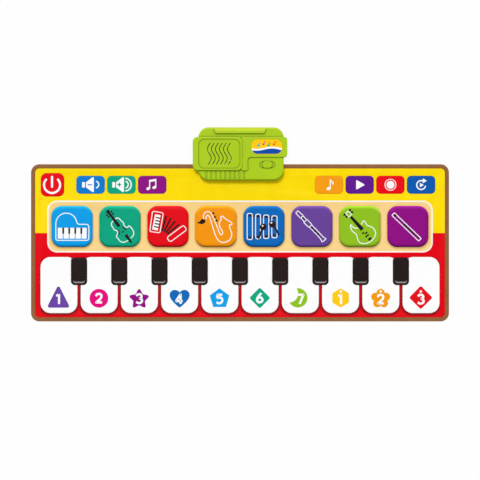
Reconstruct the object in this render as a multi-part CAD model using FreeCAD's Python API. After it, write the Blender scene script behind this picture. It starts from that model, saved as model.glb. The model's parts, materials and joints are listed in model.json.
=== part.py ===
"""A floor piano mat for small children: a padded, layered touch mat with a sound box clamped to its rear edge.

Units are millimetres. The origin is at the middle of the mat's underside, +X runs to the right along the
keyboard, +Y runs from the player towards the sound box, and +Z is up. The mat lies flat on the floor.
"""
import FreeCAD
import Part

import math
import os

Vec = FreeCAD.Vector

# ---------------------------------------------------------------- the mat's overall sizes
mat_width = 1000.0
mat_depth = 376.0
mat_corner = 20.0

# ---------------------------------------------------------------- the mat's layers, from the floor up
tape_thickness = 0.5          # the binding tape above and below the stack
backing_thickness = 1.0
foam_top = 3.0                # the padding is squeezed thinner under the binding
film_thickness = 0.3
spacer_thickness = 1.5
cover_thickness = 0.8
binding_band = 10.0           # how far the tape reaches in over the cover
binding_wall = 1.5            # the folded tape outside the stack
binding_round = 1.8

# ---------------------------------------------------------------- the rows of touch pads, front to rear
front_margin = 20.0           # mat edge to the front of the white keys
side_margin = 23.0            # mat edge to the first and last key
key_count = 10
key_gap = 8.2
key_corner = 24.0
keys_to_panel = 11.0
panel_depth = 124.0           # the framed field behind the instrument pads
panel_to_rear = 87.0          # from that field to the mat's rear edge
panel_side_margin = 39.0
black_width = 37.5
black_length = 65.2
black_setback = 1.4           # the black keys start this far in front of the white keys' rear edge
black_corner = 9.0
tile_count = 8
tile_gap = 17.0
tile_depth = 97.6
tile_corner = 24.0
tile_end_gap = 10.7           # field's edge to the first instrument pad
button_depth = 42.2
button_gap = 6.4
button_corner = 10.0
button_row_setback = 49.2     # mat's rear edge to the middle of the row of small buttons
power_size = 55.2
power_corner = 13.7
power_margin = 24.0           # mat edge to the power button
power_to_buttons = 29.8
right_button_margin = 33.4    # mat edge to the last button on the right
left_buttons_to_box = 77.4    # sound box body to the nearest button on its left
right_buttons_to_box = 75.4

# ---------------------------------------------------------------- how the pads stand and travel
pad_gap = 0.4                 # a pad to the edge of its window
film_lap = 1.5                # each pad's patch of contact film reaches this far under the cover
film_seat = 0.05
press_travel = 1.0
white_proud = 1.5
black_proud = 3.0
tile_proud = 3.0
button_proud = 1.3
white_edge_round = 1.0
black_edge_round = 2.0
tile_edge_round = 2.4
button_edge_round = 0.8
contact_height = 0.3
contact_radius = 11.0
dot_thickness = 0.1
dot_radius = 12.0

# ---------------------------------------------------------------- the sound box
body_width = 202.8
body_depth = 126.4
body_offset = 2.5             # the body's middle, right of the mat's middle
body_corner = 24.0
body_over_mat = 39.5          # how far the box reaches in over the mat
body_height = 26.5
body_edge_round = 4.0
shell_wall = 2.2
split_height = 14.0           # where the front and rear shells meet behind the mat
shell_gap = 0.1
mat_edge_gap = 0.5
floor_thickness = 2.8
lip_thickness = 2.0
lip_inset = 6.0
lip_clearance = 0.5
grille_width = 118.0
grille_depth = 80.5
grille_overhang = 13.4        # past the body's left edge
grille_setback = 22.9         # from the body's rear edge
grille_height = 31.0
grille_corner = 12.0
grille_edge_round = 2.0
dish_margin = 5.0
dish_left_margin = 13.4
dish_corner = 14.0
dish_depth = 2.0
dish_wall = 2.0
slot_count = 6
slot_pitch = 9.5
slot_width = 1.9
slot_length = 50.0
slot_sway = 4.5
slot_overrun = 0.07           # the S runs on past its full turn by this share at each end
strip_width = 12.7
label_overhang = 8.4          # past the body's right edge
label_depth = 48.7
label_bottom = 18.0
label_top = 29.3
label_corner = 7.0
label_edge_round = 1.2
sticker_depth = 35.8
sticker_left_margin = 8.0
sticker_right_margin = 11.5
sticker_rear_margin = 5.9
sticker_corner = 15.0
sticker_recess = 0.5
sticker_gap = 0.3
sticker_thickness = 0.35
handle_width = 116.0
handle_flare = 5.0            # each end of the carry bar leans out by this much towards the rear
handle_depth = 15.5
handle_height = 31.0
handle_edge_round = 1.0
rib_count = 9
rib_pitch = 11.2
rib_width = 5.0
rib_length = 17.5
rib_front_margin = 4.0
rib_left_margin = 19.1
rib_cut = 1.2

# ---------------------------------------------------------------- the slide switch and its knob
slider_right_margin = 39.1    # body's right edge to the knob's middle at rest
slider_front_margin = 37.2
slider_recess_length = 38.8
slider_recess_width = 17.2
slider_recess_cut = 1.8
slider_floor = 2.2
slider_travel = 6.0
knob_length = 24.0
knob_gap = 0.4
knob_corner = 7.6
knob_top = 29.0
knob_edge_round = 1.5
stem_length = 8.0
stem_width = 5.0
stem_gap = 0.4
lever_size = 3.6
lever_gap = 0.3
switch_length = 24.0
switch_width = 8.0
switch_height = 3.8

# ---------------------------------------------------------------- the circuit board
board_bottom = 13.0
board_thickness = 1.6
board_left_margin = 88.9      # body's left edge to the board
board_right_margin = 19.9
board_front_margin = 9.5
board_depth = 54.0
board_post_radius = 3.0
board_post_inset = 4.0
tail_width = 60.0
tail_left_margin = 20.0       # board's left edge to the tail
tail_run = 18.5
tail_reach = 9.0
connector_height = 2.4
connector_depth = 9.0
connector_grip = 5.0

# ---------------------------------------------------------------- the speaker
speaker_radius = 28.5
speaker_flange = 1.5
speaker_depth = 19.0
basket_wall = 0.9
magnet_radius = 16.0
magnet_height = 8.0
speaker_ring_gap = 0.5
speaker_ring_wall = 1.5
speaker_ring_height = 6.0
speaker_screw_count = 3
cone_thickness = 0.4
surround_width = 5.0
dust_cap_radius = 8.0

# ---------------------------------------------------------------- batteries and their bay
cell_count = 3
cell_radius = 7.1
cell_length = 49.2
cell_nub_radius = 2.75
cell_nub_length = 1.3
cell_gap = 1.2
bay_length = 64.0
bay_wall = 1.6
bay_right_margin = 15.9       # body's right edge to the bay
bay_rear_margin = 7.1
bay_headroom = 0.4
contact_plate = 0.4
contact_plate_size = 9.0
spring_wire = 0.45
spring_turns = 4.0
spring_base_radius = 3.6
spring_tip_radius = 2.0
dimple_radius = 2.2
door_ledge = 2.5
door_gap = 0.4
door_recess = 0.2             # the door sits this far above the floor
door_plate = 1.0
door_plug = 1.1
hinge_radius = 0.85
hinge_gap = 0.15
hinge_length = 9.0
hinge_inset = 6.0
hinge_swing = 1.2             # room beside the hinge for the door's edge to turn
hinge_pin_radius = 0.4
knuckle_length = 1.8
ear_thickness = 2.0

# ---------------------------------------------------------------- screws
screw_radius = 1.4
screw_head_radius = 2.8
screw_head_height = 1.8
screw_gap = 0.15
head_gap = 0.4
screw_bite = 8.0
rear_boss_radius = 4.5
rear_boss_top = 10.0
front_boss_radius = 3.8
lip_boss_radius = 6.0
lip_boss_top = 4.0
lip_boss_clearance = 0.6
small_screw_radius = 1.1
small_head_radius = 2.2
small_head_height = 1.3
small_screw_bite = 6.0
wire_radius = 0.6

# ================================================================ places worked out from the sizes
half_width = mat_width / 2
half_depth = mat_depth / 2
edge_bottom = tape_thickness
edge_backing_top = edge_bottom + backing_thickness
lower_film_top = foam_top + film_thickness
spacer_top = lower_film_top + spacer_thickness
upper_film_top = spacer_top + film_thickness
cover_top = upper_film_top + cover_thickness
mat_top = cover_top + tape_thickness
stack_corner = mat_corner - binding_wall

panel_rear = half_depth - panel_to_rear
panel_front = panel_rear - panel_depth
panel_side = half_width - panel_side_margin
key_rear = panel_front - keys_to_panel
key_front = -half_depth + front_margin
key_pitch = (mat_width - 2 * side_margin + key_gap) / key_count
key_width = key_pitch - key_gap
tile_pitch = (2 * (panel_side - tile_end_gap) + tile_gap) / tile_count
tile_width = tile_pitch - tile_gap
tile_middle = (panel_front + panel_rear) / 2
button_middle = half_depth - button_row_setback

body_left = body_offset - body_width / 2
body_right = body_offset + body_width / 2
body_front = half_depth - body_over_mat
body_rear = body_front + body_depth
body_ceiling = body_height - shell_wall
case_front = half_depth + mat_edge_gap
front_shell_bottom = cover_top + shell_gap

grille_left = body_left - grille_overhang
grille_right = grille_left + grille_width
grille_rear = body_rear - grille_setback
grille_front = grille_rear - grille_depth
grille_bottom = split_height + shell_gap
dish_floor = grille_height - dish_depth
grille_ceiling = dish_floor - dish_wall
speaker_x = grille_left + dish_left_margin + (grille_width - dish_left_margin - dish_margin) / 2
speaker_y = (grille_front + grille_rear) / 2
strip_right = grille_right + strip_width
label_right = body_right + label_overhang
label_rear = grille_rear
label_front = label_rear - label_depth
sticker_left = strip_right + sticker_left_margin
sticker_right = label_right - sticker_right_margin
sticker_rear = label_rear - sticker_rear_margin
sticker_front = sticker_rear - sticker_depth

slider_x = body_right - slider_right_margin
slider_y = body_front + slider_front_margin
slider_recess_floor = body_height - slider_recess_cut
slider_slot_bottom = slider_recess_floor - slider_floor

board_left = body_left + board_left_margin
board_right = body_right - board_right_margin
board_front = body_front + board_front_margin
board_rear = board_front + board_depth
board_top = board_bottom + board_thickness
tail_left = board_left + tail_left_margin
tail_right = tail_left + tail_width

cell_pitch = 2 * cell_radius + cell_gap
bay_depth = cell_count * cell_pitch + cell_gap
bay_right = body_right - bay_right_margin
bay_left = bay_right - bay_length
bay_rear = body_rear - bay_rear_margin
bay_front = bay_rear - bay_depth
bay_ceiling = floor_thickness + bay_headroom + 2 * cell_radius + bay_headroom
cell_axis_height = floor_thickness + bay_headroom + cell_radius

lip_screws = [
    (body_left + 14.9, body_front + 21.5),
    (body_right - 13.9, body_front + 23.5),
]
case_screws = [
    (body_left + 18.9, body_rear - 16.8),
    (bay_left - bay_wall - 13.0, body_rear - 12.0),
    (body_right - 9.5, bay_front - bay_wall - 9.5),
]


# ================================================================ small building blocks
def rounded_face(x0, x1, y0, y1, radius, z=0.0):
    """A flat face with rounded corners; a radius of half the shorter side gives round ends."""
    radius = min(radius, (x1 - x0) / 2, (y1 - y0) / 2)
    if radius < 1e-6:
        points = [Vec(x0, y0, z), Vec(x1, y0, z), Vec(x1, y1, z), Vec(x0, y1, z), Vec(x0, y0, z)]
        return Part.Face(Part.makePolygon(points))
    edges = []
    corners = [
        (x1 - radius, y0 + radius, -90.0),
        (x1 - radius, y1 - radius, 0.0),
        (x0 + radius, y1 - radius, 90.0),
        (x0 + radius, y0 + radius, 180.0),
    ]
    last = None
    first = None
    for cx, cy, start in corners:
        arc_points = []
        for turn in (0.0, 45.0, 90.0):
            angle = math.radians(start + turn)
            arc_points.append(Vec(cx + radius * math.cos(angle), cy + radius * math.sin(angle), z))
        if last is None:
            first = arc_points[0]
        elif (arc_points[0] - last).Length > 1e-6:
            edges.append(Part.LineSegment(last, arc_points[0]).toShape())
        edges.append(Part.Arc(*arc_points).toShape())
        last = arc_points[2]
    if (first - last).Length > 1e-6:
        edges.append(Part.LineSegment(last, first).toShape())
    return Part.Face(Part.Wire(edges))


def slab(x0, x1, y0, y1, z0, z1, radius=0.0):
    """An upright block with rounded vertical corners."""
    return rounded_face(x0, x1, y0, y1, radius, z0).extrude(Vec(0, 0, z1 - z0))


def round_top(shape, radius):
    """Rounds every edge of a block's top face."""
    top = shape.BoundBox.ZMax
    edges = [e for e in shape.Edges if e.BoundBox.ZMin > top - 1e-6]
    return shape.makeFillet(radius, edges)


def disc(x, y, z0, z1, radius):
    return Part.makeCylinder(radius, z1 - z0, Vec(x, y, z0))


def fused(shapes):
    whole = shapes[0]
    if len(shapes) > 1:
        whole = whole.multiFuse(shapes[1:])
    return whole.removeSplitter()


def cut(shape, tools):
    return shape.cut(Part.makeCompound(tools)) if tools else shape


def group(solids):
    return Part.makeCompound(solids)


written = {}


def write(name, shape):
    """Writes one node, after checking that it is made of sound closed solids."""
    if not shape.isValid() or not shape.Solids:
        raise ValueError(name + " is not a valid solid")
    written[name] = shape
    shape.exportStep("parts/" + name + ".step")


# ================================================================ the touch pads
class Pad:
    """One touch zone: its outline, how high it stands, and which neighbours notch it."""

    def __init__(self, name, x0, x1, y0, y1, corner, proud, edge_round, notched_by=(), lapped=True):
        self.name = name
        self.box = (x0, x1, y0, y1)
        self.corner = corner
        self.proud = proud
        self.edge_round = edge_round
        self.notched_by = notched_by
        self.lapped = lapped

    def grown(self, by, z0, z1):
        """The pad's outline as an upright block, larger all round by a given amount."""
        x0, x1, y0, y1 = self.box
        return slab(x0 - by, x1 + by, y0 - by, y1 + by, z0, z1, self.corner + by)

    def contact_place(self):
        x0, x1, y0, y1 = self.box
        middle = (y0 + y1) / 2
        if self.notched_by:
            middle = (y0 + min(n.box[2] for n in self.notched_by)) / 2
        return (x0 + x1) / 2, middle

    def contact_size(self, radius):
        x0, x1, y0, y1 = self.box
        room = min(x1 - x0, y1 - y0) / 2
        if self.notched_by:
            room = min(room, (min(n.box[2] for n in self.notched_by) - y0) / 2)
        return min(radius, room - pad_gap - film_lap)

    def solid(self):
        body = round_top(self.grown(0.0, spacer_top, cover_top + self.proud), self.edge_round)
        if self.lapped:
            body = body.fuse(self.grown(film_lap, spacer_top, upper_film_top - film_seat))
        x, y = self.contact_place()
        size = self.contact_size(contact_radius)
        body = body.fuse(disc(x, y, spacer_top - contact_height, spacer_top, size))
        notches = [n.grown(pad_gap, spacer_top - 1, cover_top + self.proud + 1) for n in self.notched_by]
        return cut(body, notches).removeSplitter()


def black_keys():
    keys = []
    rear = key_rear - black_setback
    for i in range(key_count - 1):
        middle = -half_width + side_margin + (i + 1) * key_pitch - key_gap / 2
        keys.append(Pad("black_key_%d" % (i + 1), middle - black_width / 2, middle + black_width / 2,
                        rear - black_length, rear, black_corner, black_proud, black_edge_round, lapped=False))
    return keys


def white_keys(blacks):
    keys = []
    for i in range(key_count):
        left = -half_width + side_margin + i * key_pitch
        beside = [blacks[j] for j in (i - 1, i) if 0 <= j < len(blacks)]
        keys.append(Pad("white_key_%d" % (i + 1), left, left + key_width, key_front, key_rear,
                        key_corner, white_proud, white_edge_round, notched_by=beside))
    return keys


def instrument_pads():
    names = ["piano", "violin", "accordion", "saxophone", "xylophone", "clarinet", "guitar", "flute"]
    pads = []
    for i in range(tile_count):
        left = -panel_side + tile_end_gap + i * tile_pitch
        pads.append(Pad(names[i] + "_pad", left, left + tile_width,
                        tile_middle - tile_depth / 2, tile_middle + tile_depth / 2,
                        tile_corner, tile_proud, tile_edge_round))
    return pads


def button_run(names, left, right):
    """A row of equal small buttons that fills the stretch from left to right."""
    width = (right - left - (len(names) - 1) * button_gap) / len(names)
    pads = []
    for i, name in enumerate(names):
        x0 = left + i * (width + button_gap)
        pads.append(Pad(name, x0, x0 + width, button_middle - button_depth / 2,
                        button_middle + button_depth / 2, button_corner, button_proud, button_edge_round))
    return pads


def function_buttons():
    power_left = -half_width + power_margin
    power = Pad("power_button", power_left, power_left + power_size,
                button_middle - power_size / 2, button_middle + power_size / 2,
                power_corner, button_proud, button_edge_round)
    left_names = ["volume_down_button", "volume_up_button", "demo_button"]
    right_names = ["single_note_button", "play_button", "record_button", "playback_button"]
    left = button_run(left_names, power_left + power_size + power_to_buttons, body_left - left_buttons_to_box)
    right = button_run(right_names, body_right + right_buttons_to_box, half_width - right_button_margin)
    return [power] + left + right


# ================================================================ the mat's layers
def stack_block(z0, z1):
    return slab(-half_width + binding_wall, half_width - binding_wall,
                -half_depth + binding_wall, half_depth - binding_wall, z0, z1, stack_corner)


def inner_block(z0, z1, by=0.0):
    """The mat inside its binding tape, larger all round by a given amount."""
    side = binding_band - by
    return slab(-half_width + side, half_width - side, -half_depth + side, half_depth - side,
                z0, z1, mat_corner - side)


def body_block(z0, z1, inset=0.0):
    """The sound box body's outline as an upright block."""
    return slab(body_left + inset, body_right - inset, body_front + inset, body_rear - inset,
                z0, z1, body_corner - inset)


def in_front_of(y, z0, z1):
    return Part.makeBox(body_width + 80, body_depth + 80, z1 - z0,
                        Vec(body_left - 40, y - body_depth - 80, z0))


def behind(y, z0, z1):
    return Part.makeBox(body_width + 80, body_depth + 80, z1 - z0, Vec(body_left - 40, y, z0))


def boss_holes():
    """Where the lip's screw bosses come up through the layers."""
    return [disc(x, y, -1, mat_top + 1, lip_boss_radius + lip_boss_clearance) for x, y in lip_screws]


def lip_recess():
    """Room under the mat for the rear shell's lip."""
    return body_block(-1, lip_thickness + lip_clearance / 2, lip_inset - lip_clearance)


def window_holes(pads, by):
    return [p.grown(by, foam_top, mat_top + 1) for p in pads]


def cover_sheet(pads):
    sheet = stack_block(upper_film_top, cover_top)
    return cut(sheet, window_holes(pads, pad_gap) + boss_holes())


def upper_film(pads):
    film = stack_block(spacer_top, upper_film_top)
    return cut(film, window_holes(pads, film_lap + pad_gap) + boss_holes())


def spacer_layer(pads):
    spacer = stack_block(lower_film_top, spacer_top)
    return cut(spacer, window_holes(pads, film_lap + pad_gap) + boss_holes())


def tail():
    """The film's connecting tail: out of the mat's rear edge, round a half turn and back to the board."""
    low = foam_top + film_thickness / 2
    high = board_bottom - connector_height / 2
    radius = (high - low) / 2
    turn_y = half_depth - binding_wall + tail_run
    half = film_thickness / 2
    outer = radius + half
    inner = radius - half
    middle = low + radius
    start_y = half_depth - binding_wall
    end_y = turn_y - tail_reach

    def at(y, z):
        return Vec(tail_left, y, z)

    edges = [
        Part.LineSegment(at(start_y, low - half), at(turn_y, low - half)).toShape(),
        Part.Arc(at(turn_y, low - half), at(turn_y + outer, middle), at(turn_y, high + half)).toShape(),
        Part.LineSegment(at(turn_y, high + half), at(end_y, high + half)).toShape(),
        Part.LineSegment(at(end_y, high + half), at(end_y, high - half)).toShape(),
        Part.LineSegment(at(end_y, high - half), at(turn_y, high - half)).toShape(),
        Part.Arc(at(turn_y, high - half), at(turn_y + inner, middle), at(turn_y, low + half)).toShape(),
        Part.LineSegment(at(turn_y, low + half), at(start_y, low + half)).toShape(),
        Part.LineSegment(at(start_y, low + half), at(start_y, low - half)).toShape(),
    ]
    return Part.Face(Part.Wire(edges)).extrude(Vec(tail_width, 0, 0))


def lower_film():
    film = cut(stack_block(foam_top, lower_film_top), boss_holes())
    return fused([film, tail()])


def contact_dots(pads):
    dots = []
    for p in pads:
        x, y = p.contact_place()
        dots.append(disc(x, y, lower_film_top, lower_film_top + dot_thickness, p.contact_size(dot_radius)))
    return group(dots)


def edge_ring(z0, z1):
    """The strip of the stack that the binding tape covers."""
    return stack_block(z0, z1).cut(inner_block(z0 - 1, z1 + 1))


def foam_pad():
    foam = stack_block(backing_thickness, foam_top)
    foam = foam.cut(edge_ring(backing_thickness, edge_backing_top))
    return cut(foam, [lip_recess()] + boss_holes())


def backing_cloth():
    """The cloth lies on the floor inside the tape, and steps up onto the tape's lower leg at the edge."""
    middle = inner_block(0.0, backing_thickness)
    cloth = fused([middle, edge_ring(edge_bottom, edge_backing_top), ])
    return cut(cloth, [lip_recess()] + boss_holes())


def edge_binding():
    """Folded tape all round the stack, left out where the sound box holds the edge."""
    outer = slab(-half_width, half_width, -half_depth, half_depth, 0.0, mat_top, mat_corner)
    rims = [e for e in outer.Edges if e.BoundBox.ZLength < 1e-6]
    outer = outer.makeFillet(binding_round, rims)
    slot = stack_block(edge_bottom, cover_top)
    inside = inner_block(-1, mat_top + 1)
    gap_left = body_left + shell_wall + shell_gap
    gap_right = body_right - shell_wall - shell_gap
    gap = Part.makeBox(gap_right - gap_left, 2 * binding_band, mat_top + 2,
                       Vec(gap_left, half_depth - binding_band - 1, -1))
    return cut(outer, [slot, inside, gap])


# ================================================================ the sound box
def s_slot(x, y, z0, z1):
    """A tall S-shaped sound slot: two equal bends, hooked back a little at both ends, with round tips."""
    steps = 24
    middle = []
    for i in range(steps + 1):
        t = i / steps
        turn = 2 * math.pi * (t * (1 + 2 * slot_overrun) - slot_overrun)
        middle.append(Vec(x - math.sin(turn) * slot_sway, y + (0.5 - t) * slot_length, z0))
    curve = Part.BSplineCurve()
    curve.interpolate(middle)
    sides = []
    for side in (1, -1):
        points = []
        for i in range(steps + 1):
            u = curve.parameter(middle[i])
            along = curve.tangent(u)[0]
            across = Vec(-along.y, along.x, 0).normalize()
            points.append(middle[i] + across * (side * slot_width / 2))
        edge = Part.BSplineCurve()
        edge.interpolate(points)
        sides.append((edge.toShape(), points))
    ends = []
    for i, way in ((0, -1), (steps, 1)):
        u = curve.parameter(middle[i])
        along = curve.tangent(u)[0].normalize()
        tip = middle[i] + along * (way * slot_width / 2)
        ends.append(Part.Arc(sides[0][1][i], tip, sides[1][1][i]).toShape())
    outline = Part.Wire(Part.__sortEdges__([sides[0][0], ends[0], sides[1][0], ends[1]]))
    return Part.Face(outline).extrude(Vec(0, 0, z1 - z0))


def carry_bar():
    """The moulded bar along the rear edge: upright at the front, rolling down to the rear wall."""
    front = body_rear - handle_depth
    low = body_height - body_edge_round
    drop = body_height - body_edge_round - 2.0
    sag_y = body_rear - handle_depth * 0.22
    sag_z = handle_height - (handle_height - drop) * 0.32
    flat_y = front + handle_depth * 0.35

    def at(y, z):
        return Vec(speaker_mid_x() - handle_width, y, z)

    profile = Part.Wire([
        Part.LineSegment(at(front, low), at(front, handle_height)).toShape(),
        Part.LineSegment(at(front, handle_height), at(flat_y, handle_height)).toShape(),
        Part.Arc(at(flat_y, handle_height), at(sag_y, sag_z), at(body_rear, drop)).toShape(),
        Part.LineSegment(at(body_rear, drop), at(body_rear - shell_wall, drop)).toShape(),
        Part.LineSegment(at(body_rear - shell_wall, drop), at(body_rear - shell_wall, low)).toShape(),
        Part.LineSegment(at(body_rear - shell_wall, low), at(front, low)).toShape(),
    ])
    bar = Part.Face(profile).extrude(Vec(2 * handle_width, 0, 0))
    middle = speaker_mid_x()
    corners = [
        Vec(middle - handle_width / 2, front - 1, 0),
        Vec(middle + handle_width / 2, front - 1, 0),
        Vec(middle + handle_width / 2 + handle_flare, body_rear + 1, 0),
        Vec(middle - handle_width / 2 - handle_flare, body_rear + 1, 0),
        Vec(middle - handle_width / 2, front - 1, 0),
    ]
    plan = Part.Face(Part.makePolygon(corners)).extrude(Vec(0, 0, 2 * handle_height))
    bar = bar.common(plan)
    rims = []
    for e in bar.Edges:
        box = e.BoundBox
        at_top = box.ZMin > handle_height - 1e-6
        slanting = box.ZLength > 1.0 and box.YLength > 1.0 and box.ZMax > handle_height - 1e-6
        if at_top and box.YMin < flat_y - 1e-6 or slanting:
            rims.append(e)
    return bar.makeFillet(handle_edge_round, rims)


def speaker_mid_x():
    return body_offset - 2.5


def screw_hole(x, y, bottom):
    return disc(x, y, bottom - 0.5, bottom + screw_bite + 1.0, screw_radius + screw_gap)


def front_outside():
    body = body_block(front_shell_bottom, body_height)
    body = round_top(body, body_edge_round)
    grille = slab(grille_left, grille_right, grille_front, grille_rear, grille_bottom,
                  grille_height, grille_corner)
    grille = round_top(grille, grille_edge_round)
    return fused([body, grille, raised_plate(), carry_bar()])


def raised_plate():
    """The L-shaped plate beside the grille: an upright strip, and a wide field for the label."""
    left = grille_right - 3
    strip = slab(left, strip_right, grille_front, grille_rear, label_bottom, label_top, 2.0)
    label = slab(left, label_right, label_front, label_rear, label_bottom, label_top, label_corner)
    corner_x = strip_right + label_corner
    corner_y = label_front - label_corner
    corner = slab(strip_right - 1, corner_x, corner_y, label_front + 1, label_bottom, label_top)
    sweep = disc(corner_x, corner_y, label_bottom - 1, label_top + 1, label_corner)
    return round_top(fused([strip, label, corner.cut(sweep)]), label_edge_round)


def front_inside():
    body = body_block(0.0, body_ceiling, shell_wall)
    grille = slab(grille_left + shell_wall, grille_right - shell_wall,
                  grille_front + shell_wall, grille_rear - shell_wall,
                  grille_bottom + shell_wall, grille_ceiling, grille_corner - shell_wall)
    label = slab(grille_right, label_right - shell_wall, label_front + shell_wall, label_rear - shell_wall,
                 label_bottom + shell_wall, label_top - shell_wall, label_corner - shell_wall)
    strip = slab(grille_right, strip_right - shell_wall, grille_front + shell_wall, label_rear - shell_wall,
                 label_bottom + shell_wall, label_top - shell_wall, 0.0)
    return [body, grille, label, strip]


def front_cuts():
    """Everything that is cut into the front shell from above and below."""
    dish = slab(grille_left + dish_left_margin, grille_right - dish_margin,
                grille_front + dish_margin, grille_rear - dish_margin,
                dish_floor, grille_height + 1, dish_corner)
    slots = []
    for i in range(slot_count):
        x = speaker_x + (i - (slot_count - 1) / 2) * slot_pitch
        slots.append(s_slot(x, speaker_y, grille_ceiling - 1, grille_height + 1))
    ribs = []
    for i in range(rib_count):
        x = body_left + rib_left_margin + i * rib_pitch
        y = body_front + rib_front_margin
        ribs.append(slab(x - rib_width / 2, x + rib_width / 2, y, y + rib_length,
                         body_height - rib_cut, body_height + 1, rib_width / 2))
    sticker = slab(sticker_left, sticker_right, sticker_front, sticker_rear,
                   label_top - sticker_recess, label_top + 1, sticker_corner)
    half = slider_recess_length / 2
    recess = slab(slider_x - half, slider_x + half,
                  slider_y - slider_recess_width / 2, slider_y + slider_recess_width / 2,
                  slider_recess_floor, body_height + 1, slider_recess_width / 2)
    reach = stem_length / 2 + slider_travel + stem_gap
    slot_half = stem_width / 2 + stem_gap
    opening = slab(slider_x - reach, slider_x + reach, slider_y - slot_half, slider_y + slot_half,
                   slider_slot_bottom - 1, body_height + 1, 0.5)
    under_case = behind(case_front - shell_gap, 0.0, split_height + shell_gap)
    binding_room = Part.makeBox(body_width + 80, 2 * binding_band, tape_thickness + 2 * shell_gap,
                                Vec(body_left - 40, half_depth - binding_band - mat_edge_gap,
                                    front_shell_bottom - shell_gap))
    return [dish, sticker, recess, opening, under_case, binding_room] + slots + ribs


def inner_ceiling(x, y):
    """How high a post can rise under the shell at a place: it is taller under the two raised plates."""
    reach = front_boss_radius
    if x - reach < grille_right and y + reach > grille_front:
        return grille_ceiling
    if x + reach > strip_right and y + reach > label_front:
        return label_top - shell_wall
    if x - reach < strip_right and y + reach > grille_front:
        return label_top - shell_wall
    return body_ceiling


def board_posts():
    """Where the board is screwed up to the front shell."""
    x0 = board_left + board_post_inset
    x1 = board_right - board_post_inset
    y0 = board_front + board_post_inset
    y1 = board_rear - board_post_inset
    return [(x0, y0), (x1, y0), (x0, y1), (x1, y1)]


def speaker_screw_places():
    reach = speaker_radius + speaker_ring_gap + small_head_radius
    places = []
    for i in range(speaker_screw_count):
        angle = math.radians(90 + i * 360 / speaker_screw_count)
        places.append((speaker_x + reach * math.cos(angle), speaker_y + reach * math.sin(angle)))
    return places


speaker_flange_top = grille_ceiling - 0.05
speaker_flange_bottom = speaker_flange_top - speaker_flange


def front_fittings():
    """Bosses, posts and rims on the inside of the front shell, and the holes in them."""
    added = []
    holes = []
    for x, y in case_screws:
        added.append(disc(x, y, rear_boss_top + shell_gap, inner_ceiling(x, y) + 0.5, front_boss_radius))
        holes.append(screw_hole(x, y, rear_boss_top))
    for x, y in lip_screws:
        added.append(disc(x, y, lip_boss_top + shell_gap, inner_ceiling(x, y) + 0.5, front_boss_radius))
        holes.append(screw_hole(x, y, lip_boss_top))
    for x, y in board_posts():
        added.append(disc(x, y, board_top, inner_ceiling(x, y) + 0.5, board_post_radius))
        holes.append(disc(x, y, board_top - 0.5, board_top + small_screw_bite + 1, small_screw_radius + screw_gap))
    inner = speaker_radius + speaker_ring_gap
    ring_bottom = grille_ceiling - speaker_ring_height
    ring = disc(speaker_x, speaker_y, ring_bottom, grille_ceiling + 0.5, inner + speaker_ring_wall)
    added.append(ring)
    holes.append(disc(speaker_x, speaker_y, ring_bottom - 1, grille_ceiling, inner))
    for x, y in speaker_screw_places():
        added.append(disc(x, y, speaker_flange_bottom, grille_ceiling + 0.5, small_head_radius))
        holes.append(disc(x, y, speaker_flange_bottom - speaker_ring_height, speaker_flange_bottom,
                          small_head_radius + head_gap))
        holes.append(disc(x, y, speaker_flange_bottom - 1, grille_ceiling, small_screw_radius))
    pad_half = slider_recess_length / 2 + 3
    pad_depth = slider_recess_width / 2 + 3
    added.append(slab(slider_x - pad_half, slider_x + pad_half, slider_y - pad_depth, slider_y + pad_depth,
                      slider_slot_bottom, body_ceiling + 0.5, 4.0))
    return added, holes


def front_shell():
    outside = front_outside()
    shell = cut(outside, front_inside())
    added, holes = front_fittings()
    inside_skin = [piece.common(outside) for piece in added]
    return cut(shell.multiFuse(inside_skin), holes + front_cuts()).removeSplitter()


def bay_block(z0, z1, grow=0.0):
    return slab(bay_left - grow, bay_right + grow, bay_front - grow, bay_rear + grow, z0, z1, 0.0)


hinge_x = bay_right + door_ledge
hinge_z = door_recess + door_plate


def rod_along_y(x, y0, y1, z, radius):
    return Part.makeCylinder(radius, y1 - y0, Vec(x, y0, z), Vec(0, 1, 0))


def hinge_stretches():
    """The two stretches of the door's edge that carry its hinge barrels."""
    first = bay_front + hinge_inset
    last = bay_rear - hinge_inset - hinge_length
    return [(first, first + hinge_length), (last, last + hinge_length)]


def knuckle_stretches():
    """The shell's knuckles, one at each end of each barrel."""
    stretches = []
    for y0, y1 in hinge_stretches():
        stretches.append((y0 - hinge_gap - knuckle_length, y0 - hinge_gap))
        stretches.append((y1 + hinge_gap, y1 + hinge_gap + knuckle_length))
    return stretches


def knuckles():
    pieces = []
    for y0, y1 in knuckle_stretches():
        arm = Part.makeBox(hinge_swing + 0.5, y1 - y0, hinge_radius + floor_thickness - hinge_z - 0.1,
                           Vec(hinge_x, y0, hinge_z - hinge_radius))
        knuckle = rod_along_y(hinge_x, y0, y1, hinge_z, hinge_radius).fuse(arm)
        pin_room = rod_along_y(hinge_x, y0 - 1, y1 + 1, hinge_z, hinge_pin_radius + hinge_gap)
        pieces.append(knuckle.cut(pin_room).removeSplitter())
    return pieces


def hinge_sockets():
    """The pocket beside the door's edge, and a trough over each barrel and its knuckles."""
    radius = hinge_radius + hinge_gap
    sockets = [Part.makeBox(hinge_swing, bay_depth + 2 * door_ledge, hinge_z + 1,
                            Vec(hinge_x, bay_front - door_ledge, -1))]
    for y0, y1 in hinge_stretches():
        reach = knuckle_length + 2 * hinge_gap
        sockets.append(rod_along_y(hinge_x, y0 - reach, y1 + reach, hinge_z, radius))
    return sockets


door_screw_x = bay_left - door_ledge - rear_boss_radius
door_screw_y = (bay_front + bay_rear) / 2
door_ear_radius = rear_boss_radius


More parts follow.
